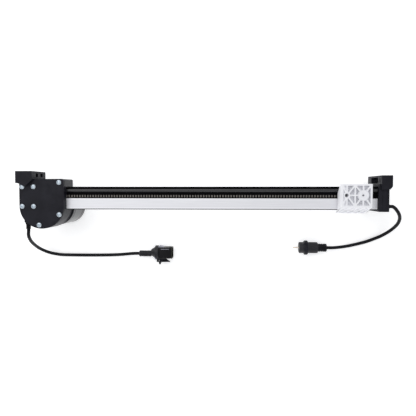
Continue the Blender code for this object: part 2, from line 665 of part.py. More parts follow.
def end_bracket():
    body = box("end_bracket", (END_LEFT, END_BOTTOM, 0), (END_RIGHT, END_TOP, END_FRONT), BLACK)
    join(body, box("arm", (ARM_LEFT, END_TOP - 1, ARM_BACK), (ARM_RIGHT, ARM_TOP, ARM_FRONT)),
         box("arm_nose", (ARM_LEFT, 19.0, 90.0), (ARM_RIGHT, END_TOP, ARM_FRONT)))
    wall = 2.5
    cut(body, box("arm_slot", (ARM_LEFT - 6, 30.3, 51), (ARM_RIGHT + 1, 40.6, 89), None, CUTTERS),
        box("idler_room", (END_LEFT - 1, AXIS_Y - 11.6, 81), (END_RIGHT - 2.0, AXIS_Y + 11.8, 97.5), None,
            CUTTERS),
        box("cord_room", (END_LEFT + wall, END_BOTTOM + wall, -1), (END_RIGHT - wall, END_TOP - wall, 74),
            None, CUTTERS),
        rod("axle_hole", (IDLER_X, AXIS_Y, 76.5), 25.5, 2.0 + GAP, "Z", None, CUTTERS, 20),
        rod("relief_hole", (END_RIGHT - 4, RELIEF_Y, RELIEF_Z), 6, 4.4 + GAP, "X", None, CUTTERS))
    for i, (y, z) in enumerate(END_SCREWS):
        cut(body, rod(f"end_screw_hole_{i}", (END_LEFT - 1, y, z), 30, 1.4 + GAP, "X", None, CUTTERS, 12))
    return body


def end_screws():
    for i, (y, z) in enumerate(END_SCREWS):
        screw(f"end_screw_{i + 1}", (END_RIGHT + GAP, y, z), "X", 2.6, 1.8, 1.4, 32.0)


def idler():
    pulley("idler_pulley", IDLER_X, 2.0 + GAP)
    turned("idler_axle", [(0, 101.6), (1.7, 101.6), (2.0, 101.3), (2.0, 77.1), (1.7, 76.8), (0, 76.8)],
           (IDLER_X, AXIS_Y, 0), "Z", STEEL, sides=12)


# ---------------------------------------------------------------- cords

def smooth_route(route, spacing):
    """A straight lead at each end, and between them a smooth curve through the route's points."""
    points = [Vector(p) for p in route]
    fine = []
    for a, b, c, d in zip(points, points[1:], points[2:], points[3:]):
        for i in range(20):
            t = i / 20
            fine.append(0.5 * (2 * b + (c - a) * t + (2 * a - 5 * b + 4 * c - d) * t * t
                               + (3 * b - a - 3 * c + d) * t ** 3))
    fine.append(points[-2])
    total = sum((q - p).length for p, q in zip(fine, fine[1:]))
    step = total / round(total / spacing)
    picked, walked, goal = [points[0], points[1]], 0.0, step
    for p, q in zip(fine, fine[1:]):
        walked += (q - p).length
        if walked >= goal and goal < total - step / 2:
            picked.append(q)
            goal += step
    return picked + points[-2:]


def cord(name, route):
    """A cord as a tube along its route."""
    curve = bpy.data.curves.new(name, "CURVE")
    curve.dimensions = "3D"
    curve.bevel_depth = CORD_R * MM
    curve.bevel_resolution = 2
    curve.use_fill_caps = True
    curve.resolution_u = 1
    points = smooth_route(route, CORD_STEP)
    spline = curve.splines.new("POLY")
    spline.points.add(len(points) - 1)
    for point, place in zip(spline.points, points):
        point.co = (*(place * MM), 1)
    obj = bpy.data.objects.new(name, curve)
    bpy.context.scene.collection.objects.link(obj)
    return own(obj, name, RUBBER)


def cable_gland():
    """The tapered strain relief under the gearbox, its axis along Y."""
    length = GLAND_TOP - GLAND_END
    profile = [(0, 12), (CORD_R + 0.5, 12), (CORD_R + 0.5, 0), (5.2, 0), (5.2, -3), (4.4, -3.6),
               (3.9, -length), (0, -length)]
    return turned("cable_gland", profile, (GLAND_X, GLAND_TOP, GLAND_Z), "Y", RUBBER, sides=20)


def right_relief():
    length = RELIEF_END - END_RIGHT - GAP
    profile = [(0, length), (3.8, length), (5.6, 2.5), (6.2, 2.2), (6.2, 0), (4.4, 0), (4.4, -5), (0, -5)]
    return turned("cord_relief_right", profile, (END_RIGHT + GAP, RELIEF_Y, RELIEF_Z), "X", RUBBER, sides=20)


def socket():
    """The female connector on the left cord; it opens towards +X."""
    x = SOCKET_START
    grip = [(0, 24), (6.1, 24), (6.1, 1.2), (5.2, 0), (0, 0)]
    turned("socket_grip", grip, (x, GRIP_Y, SOCKET_Z), "X", RUBBER, sides=24)
    body = turned("socket_body", [(0, 16), (14.0, 16), (14.3, 15), (14.3, 8.5), (10.4, 7), (6.2, 0), (0, 0)],
                  (x + 24 + GAP, SOCKET_Y, SOCKET_Z), "X", BLACK, sides=32)
    for i, z in enumerate((LATCH_HALF + 0.4, -LATCH_HALF - 2.4)):
        join(body, box(f"latch_lug_{i}", (-95, -127.2, SOCKET_Z + z), (-88, -120, SOCKET_Z + z + 2)))
    hole = rod("latch_hole", (LATCH_X, LATCH_Y, SOCKET_Z - 10), 20, 0.9 + GAP, "Z", None, CUTTERS, 12)
    cut(body, hole)
    left = x + 40 + 2 * GAP
    half = 11.3
    inside = half - 2
    shroud = box("socket_shroud", (left, SOCKET_Y - half, SOCKET_Z - half),
                 (SOCKET_END, SOCKET_Y + half, SOCKET_Z + half), BLACK)
    bevel(shroud, 1.0, 1)
    cut(shroud, box("socket_mouth", (left + 4, SOCKET_Y - inside, SOCKET_Z - inside),
                    (SOCKET_END + 1, SOCKET_Y + inside, SOCKET_Z + inside), None, CUTTERS))
    for i, z in enumerate((-4.0, 4.0)):
        turned(f"socket_contact_{i + 1}", [(0, 2), (1.3, 2), (1.3, 18), (2.3, 18), (2.3, 0), (0, 0)],
               (left + 4 + GAP, SOCKET_Y, SOCKET_Z + z), "X", BRASS, sides=12)
    claw = [(-92.0, -126.6), (-92.0, -123.9), (-88.0, -121.6), (-86.0, -120.3), (-79.0, -120.3),
            (-68.2, -127.2), (-86.2, -127.6), (-88.0, -132.6), (-90.2, -132.2), (-91.0, -127.2)]
    latch = flat("socket_latch", [claw], SOCKET_Z - LATCH_HALF, SOCKET_Z + LATCH_HALF, "Z", BLACK)
    cut(latch, hole)
    hinge_at(latch, (LATCH_X, LATCH_Y, SOCKET_Z))
    reach = LATCH_HALF + 2.4
    rod("latch_pin", (LATCH_X, LATCH_Y, SOCKET_Z - reach), 2 * reach, 0.9, "Z", STEEL, None, 12)


def plug():
    """The male connector on the right cord; its pins point towards -X."""
    x = PLUG_START
    turned("plug_grip", [(0, 17), (8.0, 17), (8.0, 1.2), (7.0, 0), (0, 0)],
           (x - 17, PLUG_Y, PLUG_Z), "X", RUBBER, sides=24)
    nose = x - 17 - GAP - 36.5
    turned("plug_body", [(0, 36.5), (10.0, 36.5), (11.1, 35.4), (11.1, 16.9), (9.2, 16.9), (9.2, 9.6),
                         (11.1, 9.6), (11.1, 0.6), (10.6, 0), (0, 0)],
           (nose, PLUG_Y, PLUG_Z), "X", BLACK, sides=28)
    turned("plug_locking_ring", [(9.5, 6.7), (14.2, 6.7), (14.2, 0), (9.5, 0), (9.5, 6.7)],
           (nose + 9.9, PLUG_Y, PLUG_Z), "X", BLACK, sides=28)
    for i, z in enumerate((-4.0, 4.0)):
        turned(f"plug_pin_{i + 1}", [(0, 12), (1.0, 12), (1.0, 1), (0.6, 0), (0, 0)],
               (177.4, PLUG_Y, PLUG_Z + z), "X", BRASS, sides=12)


def build():
    gearbox_housing()
    front_cover()
    cover_screws()
    hook_screws()
    bearing("drive_rear_bearing", (DRIVE_X, AXIS_Y, BOX_BACK + BOX_WALL + 0.5), 5.5, SHAFT_R + GAP, 3.0)
    bearing("drive_front_bearing", (DRIVE_X, AXIS_Y, 101.2), 5.5, SHAFT_R + GAP, 3.6)
    involute_gear("drive_gear", GEAR_TEETH, SHAFT_R + GAP, (DRIVE_X, AXIS_Y), GEAR_BACK, GEAR_FRONT,
                  0.0, WHITE)
    involute_gear("motor_pinion", PINION_TEETH, MOTOR_SHAFT_R + GAP, (MOTOR_X, MOTOR_Y), GEAR_BACK - 0.8,
                  GEAR_FRONT + 0.8, math.pi / 2, BRASS)
    pulley("drive_pulley", DRIVE_X, SHAFT_R + GAP)
    drive_shaft()
    control_board()
    motor_can()
    motor_end_cap()
    motor_inside()
    rail_extrusion()
    rail_cover()
    lights()
    drive_belt()
    carriage_body()
    belt_clamp()
    slide_pads()
    left_hook_bracket()
    end_bracket()
    end_screws()
    idler()
    cable_gland()
    right_relief()
    cord("cord_left", LEFT_ROUTE)
    cord("cord_right", RIGHT_ROUTE)
    socket()
    plug()


build()
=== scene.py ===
"""The looks of the motorised grow light rail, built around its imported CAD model.

Sizes are in millimetres in the CAD frame: +X runs along the rail, +Y points to the brackets and +Z comes
out of the front. Only the camera, the lights and the floor are in metres.
"""
import math

import bmesh
import bpy
from mathutils import Matrix, Vector


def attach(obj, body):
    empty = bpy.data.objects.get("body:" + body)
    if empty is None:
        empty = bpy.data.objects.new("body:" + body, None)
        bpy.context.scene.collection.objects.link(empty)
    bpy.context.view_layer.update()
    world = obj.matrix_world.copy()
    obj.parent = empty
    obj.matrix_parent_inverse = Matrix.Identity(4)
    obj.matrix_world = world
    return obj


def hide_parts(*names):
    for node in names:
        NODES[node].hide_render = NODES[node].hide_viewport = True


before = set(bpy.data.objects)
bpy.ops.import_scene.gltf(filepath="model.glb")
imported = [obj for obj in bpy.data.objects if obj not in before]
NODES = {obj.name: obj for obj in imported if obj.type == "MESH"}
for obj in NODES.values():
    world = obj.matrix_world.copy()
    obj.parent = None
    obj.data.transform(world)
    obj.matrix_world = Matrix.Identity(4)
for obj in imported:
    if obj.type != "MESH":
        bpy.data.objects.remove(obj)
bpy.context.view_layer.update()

MM = 0.001
BODY = "frame"           # the body that everything fixed rides on


# ---------------------------------------------------------------- camera, light and floor

def camera():
    data = bpy.data.cameras.new("camera")
    data.sensor_width = 36.0
    data.lens = 37.2
    data.clip_start = 0.05
    data.clip_end = 20.0
    cam = bpy.data.objects.new("camera", data)
    bpy.context.scene.collection.objects.link(cam)
    eye = Vector((0.0603, 0.0182, 0.8759))
    target = Vector((0.01365, -0.0144, 0.100))
    away = (eye - target).normalized()
    right = Vector((0, 1, 0)).cross(away).normalized()
    up = away.cross(right)
    cam.matrix_world = Matrix(((right.x, up.x, away.x, eye.x), (right.y, up.y, away.y, eye.y),
                               (right.z, up.z, away.z, eye.z), (0, 0, 0, 1)))
    bpy.context.scene.camera = cam


def softbox(name, place, target, size, power):
    data = bpy.data.lights.new(name, "AREA")
    data.shape = "RECTANGLE"
    data.size, data.size_y = size
    data.energy = power
    light = bpy.data.objects.new(name, data)
    bpy.context.scene.collection.objects.link(light)
    light.location = place
    light.rotation_euler = (Vector(target) - Vector(place)).to_track_quat("-Z", "Y").to_euler()


def studio():
    scene = bpy.context.scene
    scene.view_settings.view_transform = "Standard"
    world = bpy.data.worlds.new("studio")
    scene.world = world
    world.use_nodes = True
    background = world.node_tree.nodes["Background"]
    background.inputs["Color"].default_value = (0.97, 0.98, 1.0, 1.0)
    background.inputs["Strength"].default_value = 0.68
    softbox("key", (-0.6, 0.8, 1.5), (-0.05, 0, 0.05), (1.8, 1.2), 10.0)
    softbox("low_side", (0.1, -1.0, 0.25), (-0.3, 0, 0.04), (0.7, 0.3), 1.2)
    bpy.ops.mesh.primitive_grid_add(x_subdivisions=4, y_subdivisions=4, size=8)
    floor = bpy.context.object
    floor.name = "floor"
    floor.location.z = -0.0006
    floor.data.materials.append(paper())


# ---------------------------------------------------------------- materials

class Shader:
    """A small helper that builds one node material."""

    def __init__(self, name, colour, roughness, metallic=0.0, **sockets):
        self.mat = bpy.data.materials.new(name)
        self.mat.use_nodes = True
        self.tree = self.mat.node_tree
        self.bsdf = self.tree.nodes["Principled BSDF"]
        self.bsdf.inputs["Base Color"].default_value = (*colour, 1.0)
        self.bsdf.inputs["Roughness"].default_value = roughness
        self.bsdf.inputs["Metallic"].default_value = metallic
        for key, value in sockets.items():
            self.bsdf.inputs[key.replace("_", " ")].default_value = value
        self.place = self.tree.nodes.new("ShaderNodeTexCoord").outputs["Object"]

    def stretched(self, scale):
        node = self.tree.nodes.new("ShaderNodeMapping")
        node.inputs["Scale"].default_value = scale
        self.tree.links.new(self.place, node.inputs["Vector"])
        return node.outputs["Vector"]

    def noise(self, scale, detail=3.0, stretch=None):
        node = self.tree.nodes.new("ShaderNodeTexNoise")
        node.inputs["Scale"].default_value = scale
        node.inputs["Detail"].default_value = detail
        self.tree.links.new(self.stretched(stretch) if stretch else self.place, node.inputs["Vector"])
        return node.outputs["Fac"]

    def wave(self, scale, direction="X", distortion=0.0):
        node = self.tree.nodes.new("ShaderNodeTexWave")
        node.bands_direction = direction
        node.inputs["Scale"].default_value = scale
        node.inputs["Distortion"].default_value = distortion
        self.tree.links.new(self.place, node.inputs["Vector"])
        return node.outputs["Fac"]

    def spread(self, source, low, high, start=0.3, end=0.7):
        """Map a texture value to a range."""
        node = self.tree.nodes.new("ShaderNodeMapRange")
        node.inputs["From Min"].default_value = start
        node.inputs["From Max"].default_value = end
        node.inputs["To Min"].default_value = low
        node.inputs["To Max"].default_value = high
        self.tree.links.new(source, node.inputs["Value"])
        return node.outputs["Result"]

    def times(self, a, b):
        node = self.tree.nodes.new("ShaderNodeMath")
        node.operation = "MULTIPLY"
        self.tree.links.new(a, node.inputs[0])
        self.tree.links.new(b, node.inputs[1])
        return node.outputs["Value"]

    def tint(self, source, first, second, start=0.3, end=0.7):
        """Mix two colours by a texture value."""
        node = self.tree.nodes.new("ShaderNodeValToRGB")
        node.color_ramp.elements[0].position = start
        node.color_ramp.elements[0].color = (*first, 1)
        node.color_ramp.elements[1].position = end
        node.color_ramp.elements[1].color = (*second, 1)
        self.tree.links.new(source, node.inputs["Fac"])
        self.tree.links.new(node.outputs["Color"], self.bsdf.inputs["Base Color"])

    def rough(self, source, low, high):
        self.tree.links.new(self.spread(source, low, high), self.bsdf.inputs["Roughness"])

    def bump(self, source, depth, strength=0.5):
        node = self.tree.nodes.new("ShaderNodeBump")
        node.inputs["Strength"].default_value = strength
        node.inputs["Distance"].default_value = depth * MM
        self.tree.links.new(source, node.inputs["Height"])
        before = self.bsdf.inputs["Normal"].links
        if before:
            self.tree.links.new(before[0].from_socket, node.inputs["Normal"])
        self.tree.links.new(node.outputs["Normal"], self.bsdf.inputs["Normal"])


def paper():
    """The white backdrop, which glows a little so that it stays white."""
    s = Shader("studio_paper", (0.93, 0.93, 0.93), 0.9, Emission_Color=(1, 1, 1, 1), Emission_Strength=0.42)
    s.tint(s.noise(3.0), (0.93, 0.93, 0.93), (0.95, 0.95, 0.95))
    return s.mat


def moulded(name, dark, light, rough=(0.42, 0.6), grain=1400.0, depth=0.04, specular=0.35):
    """Fine moulded plastic: a slight mottle, a fine grain and uneven gloss."""
    s = Shader(name, light, rough[0], Specular_IOR_Level=specular)
    s.tint(s.noise(45.0, 4.0), dark, light)
    s.rough(s.noise(160.0, 3.0), *rough)
    s.bump(s.noise(grain, 2.0), depth, 0.35)
    s.bump(s.noise(90.0, 2.0), depth * 0.8, 0.15)
    return s.mat


def brushed(name, dark, light, rough, metallic):
    """Metal with fine lines along the rail."""
    stretch = (0.012, 1, 1)
    s = Shader(name, light, rough[0], metallic)
    lines = s.noise(2600.0, 2.0, stretch)
    s.tint(s.noise(1500.0, 3.0, stretch), dark, light)
    s.rough(lines, *rough)
    s.bump(lines, 0.01, 0.25)
    return s.mat


def painted(name, dark, light, rough, specular):
    """Paint with a light orange peel."""
    s = Shader(name, light, rough[0], Specular_IOR_Level=specular)
    s.tint(s.noise(30.0, 4.0), dark, light)
    s.rough(s.noise(120.0, 3.0), *rough)
    s.bump(s.noise(420.0, 1.0), 0.03, 0.25)
    return s.mat


def plated(name, dark, light, rough=(0.2, 0.38), metallic=1.0):
    """Plated or machined metal: cloudy colour and fine scuffs."""
    s = Shader(name, light, rough[0], metallic)
    s.tint(s.noise(420.0, 4.0), dark, light)
    s.rough(s.noise(900.0, 3.0), *rough)
    s.bump(s.noise(2200.0, 2.0), 0.01, 0.2)
    return s.mat


def belt_fabric():
    """The nylon facing of the belt's teeth: a fine weave."""
    s = Shader("belt_fabric", (0.12, 0.11, 0.1), 0.75)
    weave = s.times(s.wave(1300.0, "X", 0.4), s.wave(1300.0, "Z", 0.4))
    s.tint(weave, (0.13, 0.12, 0.11), (0.23, 0.21, 0.19), 0.1, 0.8)
    s.rough(s.noise(800.0), 0.65, 0.85)
    s.bump(weave, 0.05, 0.4)
    return s.mat


def board_green():
    """A circuit board with copper tracks under its solder mask."""
    s = Shader("solder_mask", (0.02, 0.12, 0.06), 0.35)
    s.tint(s.wave(160.0, "X", 6.0), (0.012, 0.09, 0.045), (0.03, 0.16, 0.07), 0.45, 0.55)
    s.rough(s.noise(300.0), 0.3, 0.45)
    s.bump(s.wave(160.0, "X", 6.0), 0.03, 0.3)
    return s.mat


def opal():
    """The ribbed light strip's milky plastic."""
    s = Shader("opal_strip", (0.9, 0.9, 0.87), 0.38, Subsurface_Weight=0.25)
    s.tint(s.noise(60.0), (0.86, 0.86, 0.83), (0.93, 0.93, 0.9))
    s.rough(s.noise(200.0), 0.32, 0.46)
    s.bump(s.wave(260.0, "Z"), 0.05, 0.3)
    return s.mat


BLACK = moulded("black_moulding", (0.0075, 0.0075, 0.0115), (0.0135, 0.0135, 0.0195), specular=0.18)
HOUSING = moulded("housing_moulding", (0.009, 0.009, 0.013), (0.015, 0.015, 0.020), (0.30, 0.38), depth=0.02,
                  specular=0.12)
GLOSS = painted("black_enamel", (0.008, 0.008, 0.010), (0.013, 0.013, 0.016), (0.24, 0.34), 0.66)
MATT = painted("black_matt_enamel", (0.0015, 0.0015, 0.002), (0.003, 0.003, 0.004), (0.5, 0.65), 0.03)
RUBBER = moulded("cord_rubber", (0.004, 0.004, 0.006), (0.008, 0.008, 0.011), (0.36, 0.46), grain=2200.0,
                 depth=0.02, specular=0.14)
CONNECTOR = moulded("connector_moulding", (0.007, 0.007, 0.009), (0.014, 0.014, 0.018), (0.35, 0.5),
                    grain=900.0, depth=0.06, specular=0.34)
SHROUD = moulded("shroud_moulding", (0.002, 0.002, 0.003), (0.004, 0.004, 0.005), (0.3, 0.4), specular=0.2)
# Light grey for the painted highlights on the black socket.
HIGHLIGHT_GREY = moulded("painted_highlight_grey", (0.22, 0.22, 0.27), (0.34, 0.34, 0.40), (0.35, 0.45), specular=0.5)
# Olive grey for the ring at the socket's mouth: a painted highlight on the rim's edge.
RIM_HIGHLIGHT = moulded("rim_highlight_olive", (0.07, 0.07, 0.045), (0.11, 0.11, 0.08), (0.5, 0.6), specular=0.3)
PAD = moulded("slide_pad", (0.035, 0.035, 0.035), (0.055, 0.055, 0.055), (0.5, 0.7))
NYLON = moulded("white_nylon", (0.91, 0.91, 0.94), (0.95, 0.95, 0.98), (0.42, 0.55), grain=1100.0, depth=0.05)
SILVER = brushed("anodised_aluminium", (0.79, 0.79, 0.82), (0.87, 0.87, 0.90), (0.42, 0.56), 0.45)
# A lighter, less metallic aluminium for two thin beads: painted highlight lines along the rail's face.
HIGHLIGHT_EDGE = brushed("painted_highlight_edge", (0.92, 0.92, 0.95), (0.97, 0.97, 1.0), (0.3, 0.4), 0.2)
STEEL = plated("machined_steel", (0.42, 0.42, 0.44), (0.56, 0.56, 0.58))
ZINC = plated("bright_zinc", (0.44, 0.52, 0.59), (0.66, 0.72, 0.77), (0.2, 0.32), 0.8)
BRASS = plated("brass", (0.62, 0.45, 0.2), (0.8, 0.62, 0.32))
PALE_PIN = plated("pale_pin", (0.80, 0.70, 0.60), (0.90, 0.82, 0.73), (0.25, 0.4), 0.3)
MOTOR = painted("motor_enamel", (0.006, 0.006, 0.009), (0.012, 0.012, 0.016), (0.10, 0.16), 0.75)
BELT = moulded("belt_rubber", (0.003, 0.003, 0.003), (0.006, 0.006, 0.006), (0.6, 0.8), specular=0.1)
TEETH_FACING = belt_fabric()
BOARD = board_green()
LENS = opal()


# ---------------------------------------------------------------- shapes

def link(obj):
    bpy.context.scene.collection.objects.link(obj)
    return obj


def frozen(obj):
    """The object with its modifiers and its place applied to its mesh."""
    bpy.context.view_layer.update()
    data = bpy.data.meshes.new_from_object(obj.evaluated_get(bpy.context.evaluated_depsgraph_get()))
    data.transform(obj.matrix_world)
    name = obj.name
    bpy.data.objects.remove(obj)
    bm = bmesh.new()
    bm.from_mesh(data)
    bmesh.ops.remove_doubles(bm, verts=bm.verts, dist=2e-6)
    bmesh.ops.dissolve_degenerate(bm, edges=bm.edges, dist=1e-6)
    bm.normal_update()
    bm.to_mesh(data)
    bm.free()
    made = bpy.data.objects.new(name, data)
    made.data.name = name
    return link(made)


AXES = {"X": Matrix(((0, 0, 1, 0), (1, 0, 0, 0), (0, 1, 0, 0), (0, 0, 0, 1))),
        "Y": Matrix(((0, 1, 0, 0), (0, 0, 1, 0), (1, 0, 0, 0), (0, 0, 0, 1))),
        "Z": Matrix.Identity(4)}


def prism(name, outlines, back, front, axis="Z"):
    """Closed outlines extruded along an axis: (x, y) along Z, (y, z) along X, (z, x) along Y."""
    curve = bpy.data.curves.new(name, "CURVE")
    curve.dimensions = "2D"
    curve.fill_mode = "BOTH"
    curve.extrude = (front - back) / 2 * MM
    for points in outlines:
        spline = curve.splines.new("POLY")
        spline.points.add(len(points) - 1)
        for point, (u, v) in zip(spline.points, points):
            point.co = (u * MM, v * MM, 0, 1)
        spline.use_cyclic_u = True
    obj = link(bpy.data.objects.new(name, curve))
    obj.matrix_world = AXES[axis] @ Matrix.Translation((0, 0, (back + front) / 2 * MM))
    return frozen(obj)


def block(name, low, high):
    corners = [(low[0], low[1]), (high[0], low[1]), (high[0], high[1]), (low[0], high[1])]
    return prism(name, [corners], low[2], high[2])


TURNS = {"X": Matrix.Rotation(math.pi / 2, 4, "Y"), "Y": Matrix.Rotation(-math.pi / 2, 4, "X"),
         "Z": Matrix.Identity(4)}


def lathe(name, profile, place, axis="Z", sides=64):
    """A turned piece: (radius, height) from one end to the other down its outside."""
    bm = bmesh.new()
    rings = []
    for radius, height in profile:
        if radius < 1e-6:
            rings.append([bm.verts.new((0, 0, height * MM))])
        else:
            rings.append([bm.verts.new((radius * MM * math.cos(2 * math.pi * i / sides),
                                        radius * MM * math.sin(2 * math.pi * i / sides), height * MM))
                          for i in range(sides)])
    closed = profile[0] == profile[-1]
    if closed:
        for vert in rings[-1]:
            bm.verts.remove(vert)
        rings[-1] = rings[0]
    for a, b in zip(rings, rings[1:]):
        for i in range(sides):
            j = (i + 1) % sides
            if len(a) == 1 and len(b) == 1:
                continue
            if len(a) == 1:
                bm.faces.new((a[0], b[i], b[j]))
            elif len(b) == 1:
                bm.faces.new((a[i], b[0], a[j]))
            else:
                bm.faces.new((a[i], b[i], b[j], a[j]))
    bmesh.ops.recalc_face_normals(bm, faces=bm.faces)
    data = bpy.data.meshes.new(name)
    bm.to_mesh(data)
    bm.free()
    data.transform(Matrix.Translation(Vector(place) * MM) @ TURNS[axis])
    return link(bpy.data.objects.new(name, data))


def rod(name, place, length, radius, axis="Z", sides=40, edge=0.0):
    """A cylinder from place along +axis, with chamfered ends."""
    edge = max(edge, 0.001)
    return lathe(name, [(0, length), (radius - edge, length), (radius, length - edge), (radius, edge),
                        (radius - edge, 0), (0, 0)], place, axis, sides)


def arc(centre, radius, first, last, steps):
    """Points on a circle, from one angle in degrees to another."""
    turn = math.radians(1)
    return [(centre[0] + radius * math.cos(turn * (first + (last - first) * i / steps)),
             centre[1] + radius * math.sin(turn * (first + (last - first) * i / steps)))
            for i in range(steps + 1)]


def fillet(points, radius, steps=4):
    """Round the corners of a closed outline."""
    made = []
    count = len(points)
    for i in range(count):
        here = Vector(points[i])
        to_a, to_b = Vector(points[i - 1]) - here, Vector(points[(i + 1) % count]) - here
        angle = to_a.angle(to_b)
        if angle > math.radians(170):
            made.append(tuple(here))
            continue
        reach = min(radius / math.tan(angle / 2), to_a.length * 0.45, to_b.length * 0.45)
        start, end = here + to_a.normalized() * reach, here + to_b.normalized() * reach
        for k in range(steps + 1):
            t = k / steps
            made.append(tuple((1 - t) ** 2 * start + 2 * t * (1 - t) * here + t * t * end))
    return made


def rounded_rect(low, high, radius, steps=4):
    return fillet([(low[0], low[1]), (high[0], low[1]), (high[0], high[1]), (low[0], high[1])], radius, steps)


def boolean(obj, others, operation):
    for other in others:
        mod = obj.modifiers.new("boolean", "BOOLEAN")
        mod.operation = operation
        mod.solver = "EXACT"
        mod.object = other
    made = frozen(obj)
    for other in others:
        bpy.data.objects.remove(other)
    return made


def cut(obj, *others):
    return boolean(obj, others, "DIFFERENCE")


def join(obj, *others):
    return boolean(obj, others, "UNION")


def bevel(obj, width, segments=3, angle=30):
    mod = obj.modifiers.new("bevel", "BEVEL")
    mod.width = width * MM
    mod.segments = segments
    mod.limit_method = "ANGLE"
    mod.angle_limit = math.radians(angle)
    mod.use_clamp_overlap = True
    return frozen(obj)


def merged(name, objs):
    """Several separate shells as one piece."""
    bm = bmesh.new()
    for obj in objs:
        obj.data.transform(obj.matrix_world)
        bm.from_mesh(obj.data)
        bpy.data.objects.remove(obj)
    data = bpy.data.meshes.new(name)
    bm.to_mesh(data)
    bm.free()
    return link(bpy.data.objects.new(name, data))


def dress(obj, mat, nodes=(), body=BODY, angle=35):
    """Give a piece its material, its body and the CAD nodes that it stands for."""
    if obj.type == "MESH":
        obj.data.shade_smooth()
        obj.data.set_sharp_from_angle(angle=math.radians(angle))
    obj.data.materials.clear()
    obj.data.materials.append(mat)
    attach(obj, body)
    if nodes:
        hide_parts(*([nodes] if isinstance(nodes, str) else nodes))
    return obj


def cad(mat, slot, *names):
    """CAD nodes that stay as they are, with a finished material."""
    for name in names:
        NODES[name].data.materials.clear()
        NODES[name].data.materials.append(mat)


# ---------------------------------------------------------------- cords

CORD_R = 3.2
GLAND_X, GLAND_Z = -329.5, 82.0         # where the left cord leaves the gearbox
RELIEF_Y, RELIEF_Z = -12.5, 60.0        # where the right cord leaves the end bracket
LEFT_ROUTE = [(-329.5, -55.9, 82), (-329.5, -60.5, 82), (-330.3, -65, 81.1), (-331.7, -70.5, 77.3),
              (-333.2, -77, 69.5), (-334.7, -83, 60), (-335.8, -89.2, 48), (-336.2, -95, 36),
              (-334.8, -100.7, 25), (-331.2, -105.7, 16), (-325.4, -110, 9.5), (-317.8, -113.2, 5.5),
              (-307, -115.4, 3.7), (-295, -116.7, 3.3), (-265, -117, 3.3), (-231, -116.9, 3.3),
              (-197, -116.2, 3.8), (-176, -114.9, 6.4), (-158, -112.8, 10.6), (-145, -111.2, 13.8),
              (-137, -110.8, 14.6), (-131.3, -110.8, 14.6)]
RIGHT_ROUTE = [(349.1, -12.5, 60), (353.8, -12.5, 60), (358.2, -14.9, 59.2), (362.7, -18.9, 56.6),
               (367.3, -23.9, 53), (371.1, -29, 48.5), (373.9, -34.2, 43.3), (375.4, -39.6, 37.5),
               (375.4, -45.3, 31.5), (374, -50.7, 25.5), (371, -56.3, 19.3), (366.4, -62.1, 13.5),
               (360.3, -67.7, 8.7), (353, -72.7, 5.4), (344.5, -76.9, 3.8), (324, -84.9, 3.4),
               (302, -90.6, 4.2), (288, -93.3, 6.5), (275, -95, 9.6),
               (263, -95.9, 13), (254, -96.2, 14.6), (243.8, -96.2, 14.6)]


def smooth_route(route, steps=6):
    """Points on a smooth curve through the route, with its first and last stretches straight."""
    points = [Vector(p) for p in route]
    fine = [points[0]]
    for a, b, c, d in zip(points, points[1:], points[2:], points[3:]):
        for i in range(steps):
            t = i / steps
            fine.append(0.5 * (2 * b + (c - a) * t + (2 * a - 5 * b + 4 * c - d) * t * t
                               + (3 * b - a - 3 * c + d) * t ** 3))
    return fine + points[-2:]


def cord(name, node, route):
    curve = bpy.data.curves.new(name, "CURVE")
    curve.dimensions = "3D"
    curve.bevel_depth = CORD_R * MM
    curve.bevel_resolution = 8
    curve.use_fill_caps = True
    curve.resolution_u = 1
    points = smooth_route(route)
    spline = curve.splines.new("POLY")
    spline.points.add(len(points) - 1)
    for point, place in zip(spline.points, points):
        point.co = (*(place * MM), 1)
    obj = link(bpy.data.objects.new(name, curve))
    dress(obj, RUBBER, node)


# ---------------------------------------------------------------- screws

def pan_screw(name, place, axis, head_r, head_h, shank_r, length, nodes):
    """A pan-head screw with a cross recess."""
    shank = -length + shank_r
    dome = [(0, head_h)]
    dome += [(head_r * math.sin(math.radians(a)), head_h * (0.35 + 0.65 * math.cos(math.radians(a))))
             for a in (15, 30, 45, 60, 75, 90)]
    dome += [(head_r, 0.25), (head_r - 0.25, 0), (shank_r, 0), (shank_r, shank),
             (shank_r * 0.3, -length), (0, -length)]
    head = lathe(name, dome, place, axis, 40)
    turn = Matrix.Translation(Vector(place) * MM) @ TURNS[axis] @ Matrix.Rotation(math.radians(38), 4, "Z")
    arm, half = head_r * 0.6, head_r * 0.19
    bars = []
    for i, (u, v) in enumerate(((arm, half), (half, arm))):
        bar = block(f"{name}_bar_{i}", (-u, -v, head_h * 0.42), (u, v, head_h + 1))
        bar.data.transform(turn)
        bars.append(bar)
    pit = lathe(f"{name}_pit", [(0, head_h + 1), (head_r * 0.34, head_h + 1), (head_r * 0.34, head_h * 0.8),
                                (head_r * 0.26, head_h * 0.3), (0, head_h * 0.3)], place, axis, 24)
    dress(cut(head, join(*bars), pit), ZINC, nodes)


COVER_SCREWS = [(-257.7, 31.8), (-305.5, 24.2), (-326.8, 24.0), (-326.8, -11.8), (-305.5, -11.8),
                (-258.0, -26.9), (-295.6, -45.8)]
END_SCREWS = [(-14.9, 91.0), (19.4, 71.2)]


def screws():
    for i, (x, y) in enumerate(COVER_SCREWS):
        pan_screw(f"pan_screw_{i + 1}", (x, y, 109.7), "Z", 4.6, 3.0, 2.0, 12.0, f"cover_screw_{i + 1}")
    for i, (y, z) in enumerate(END_SCREWS):
        pan_screw(f"bracket_screw_{i + 1}", (332.7, y, z), "X", 2.6, 1.8, 1.4, 8.0, f"end_screw_{i + 1}")


# ---------------------------------------------------------------- gearbox and motor

BOX_X, BOX_Y, BOX_R, BOX_TOP = -290.7, -11.1, 41.6, 38.4
SHAFT_X, SHAFT_Y = -282.0, -1.4193
MOTOR_X, MOTOR_Y, MOTOR_R = -282.0, -14.6693, 34.9


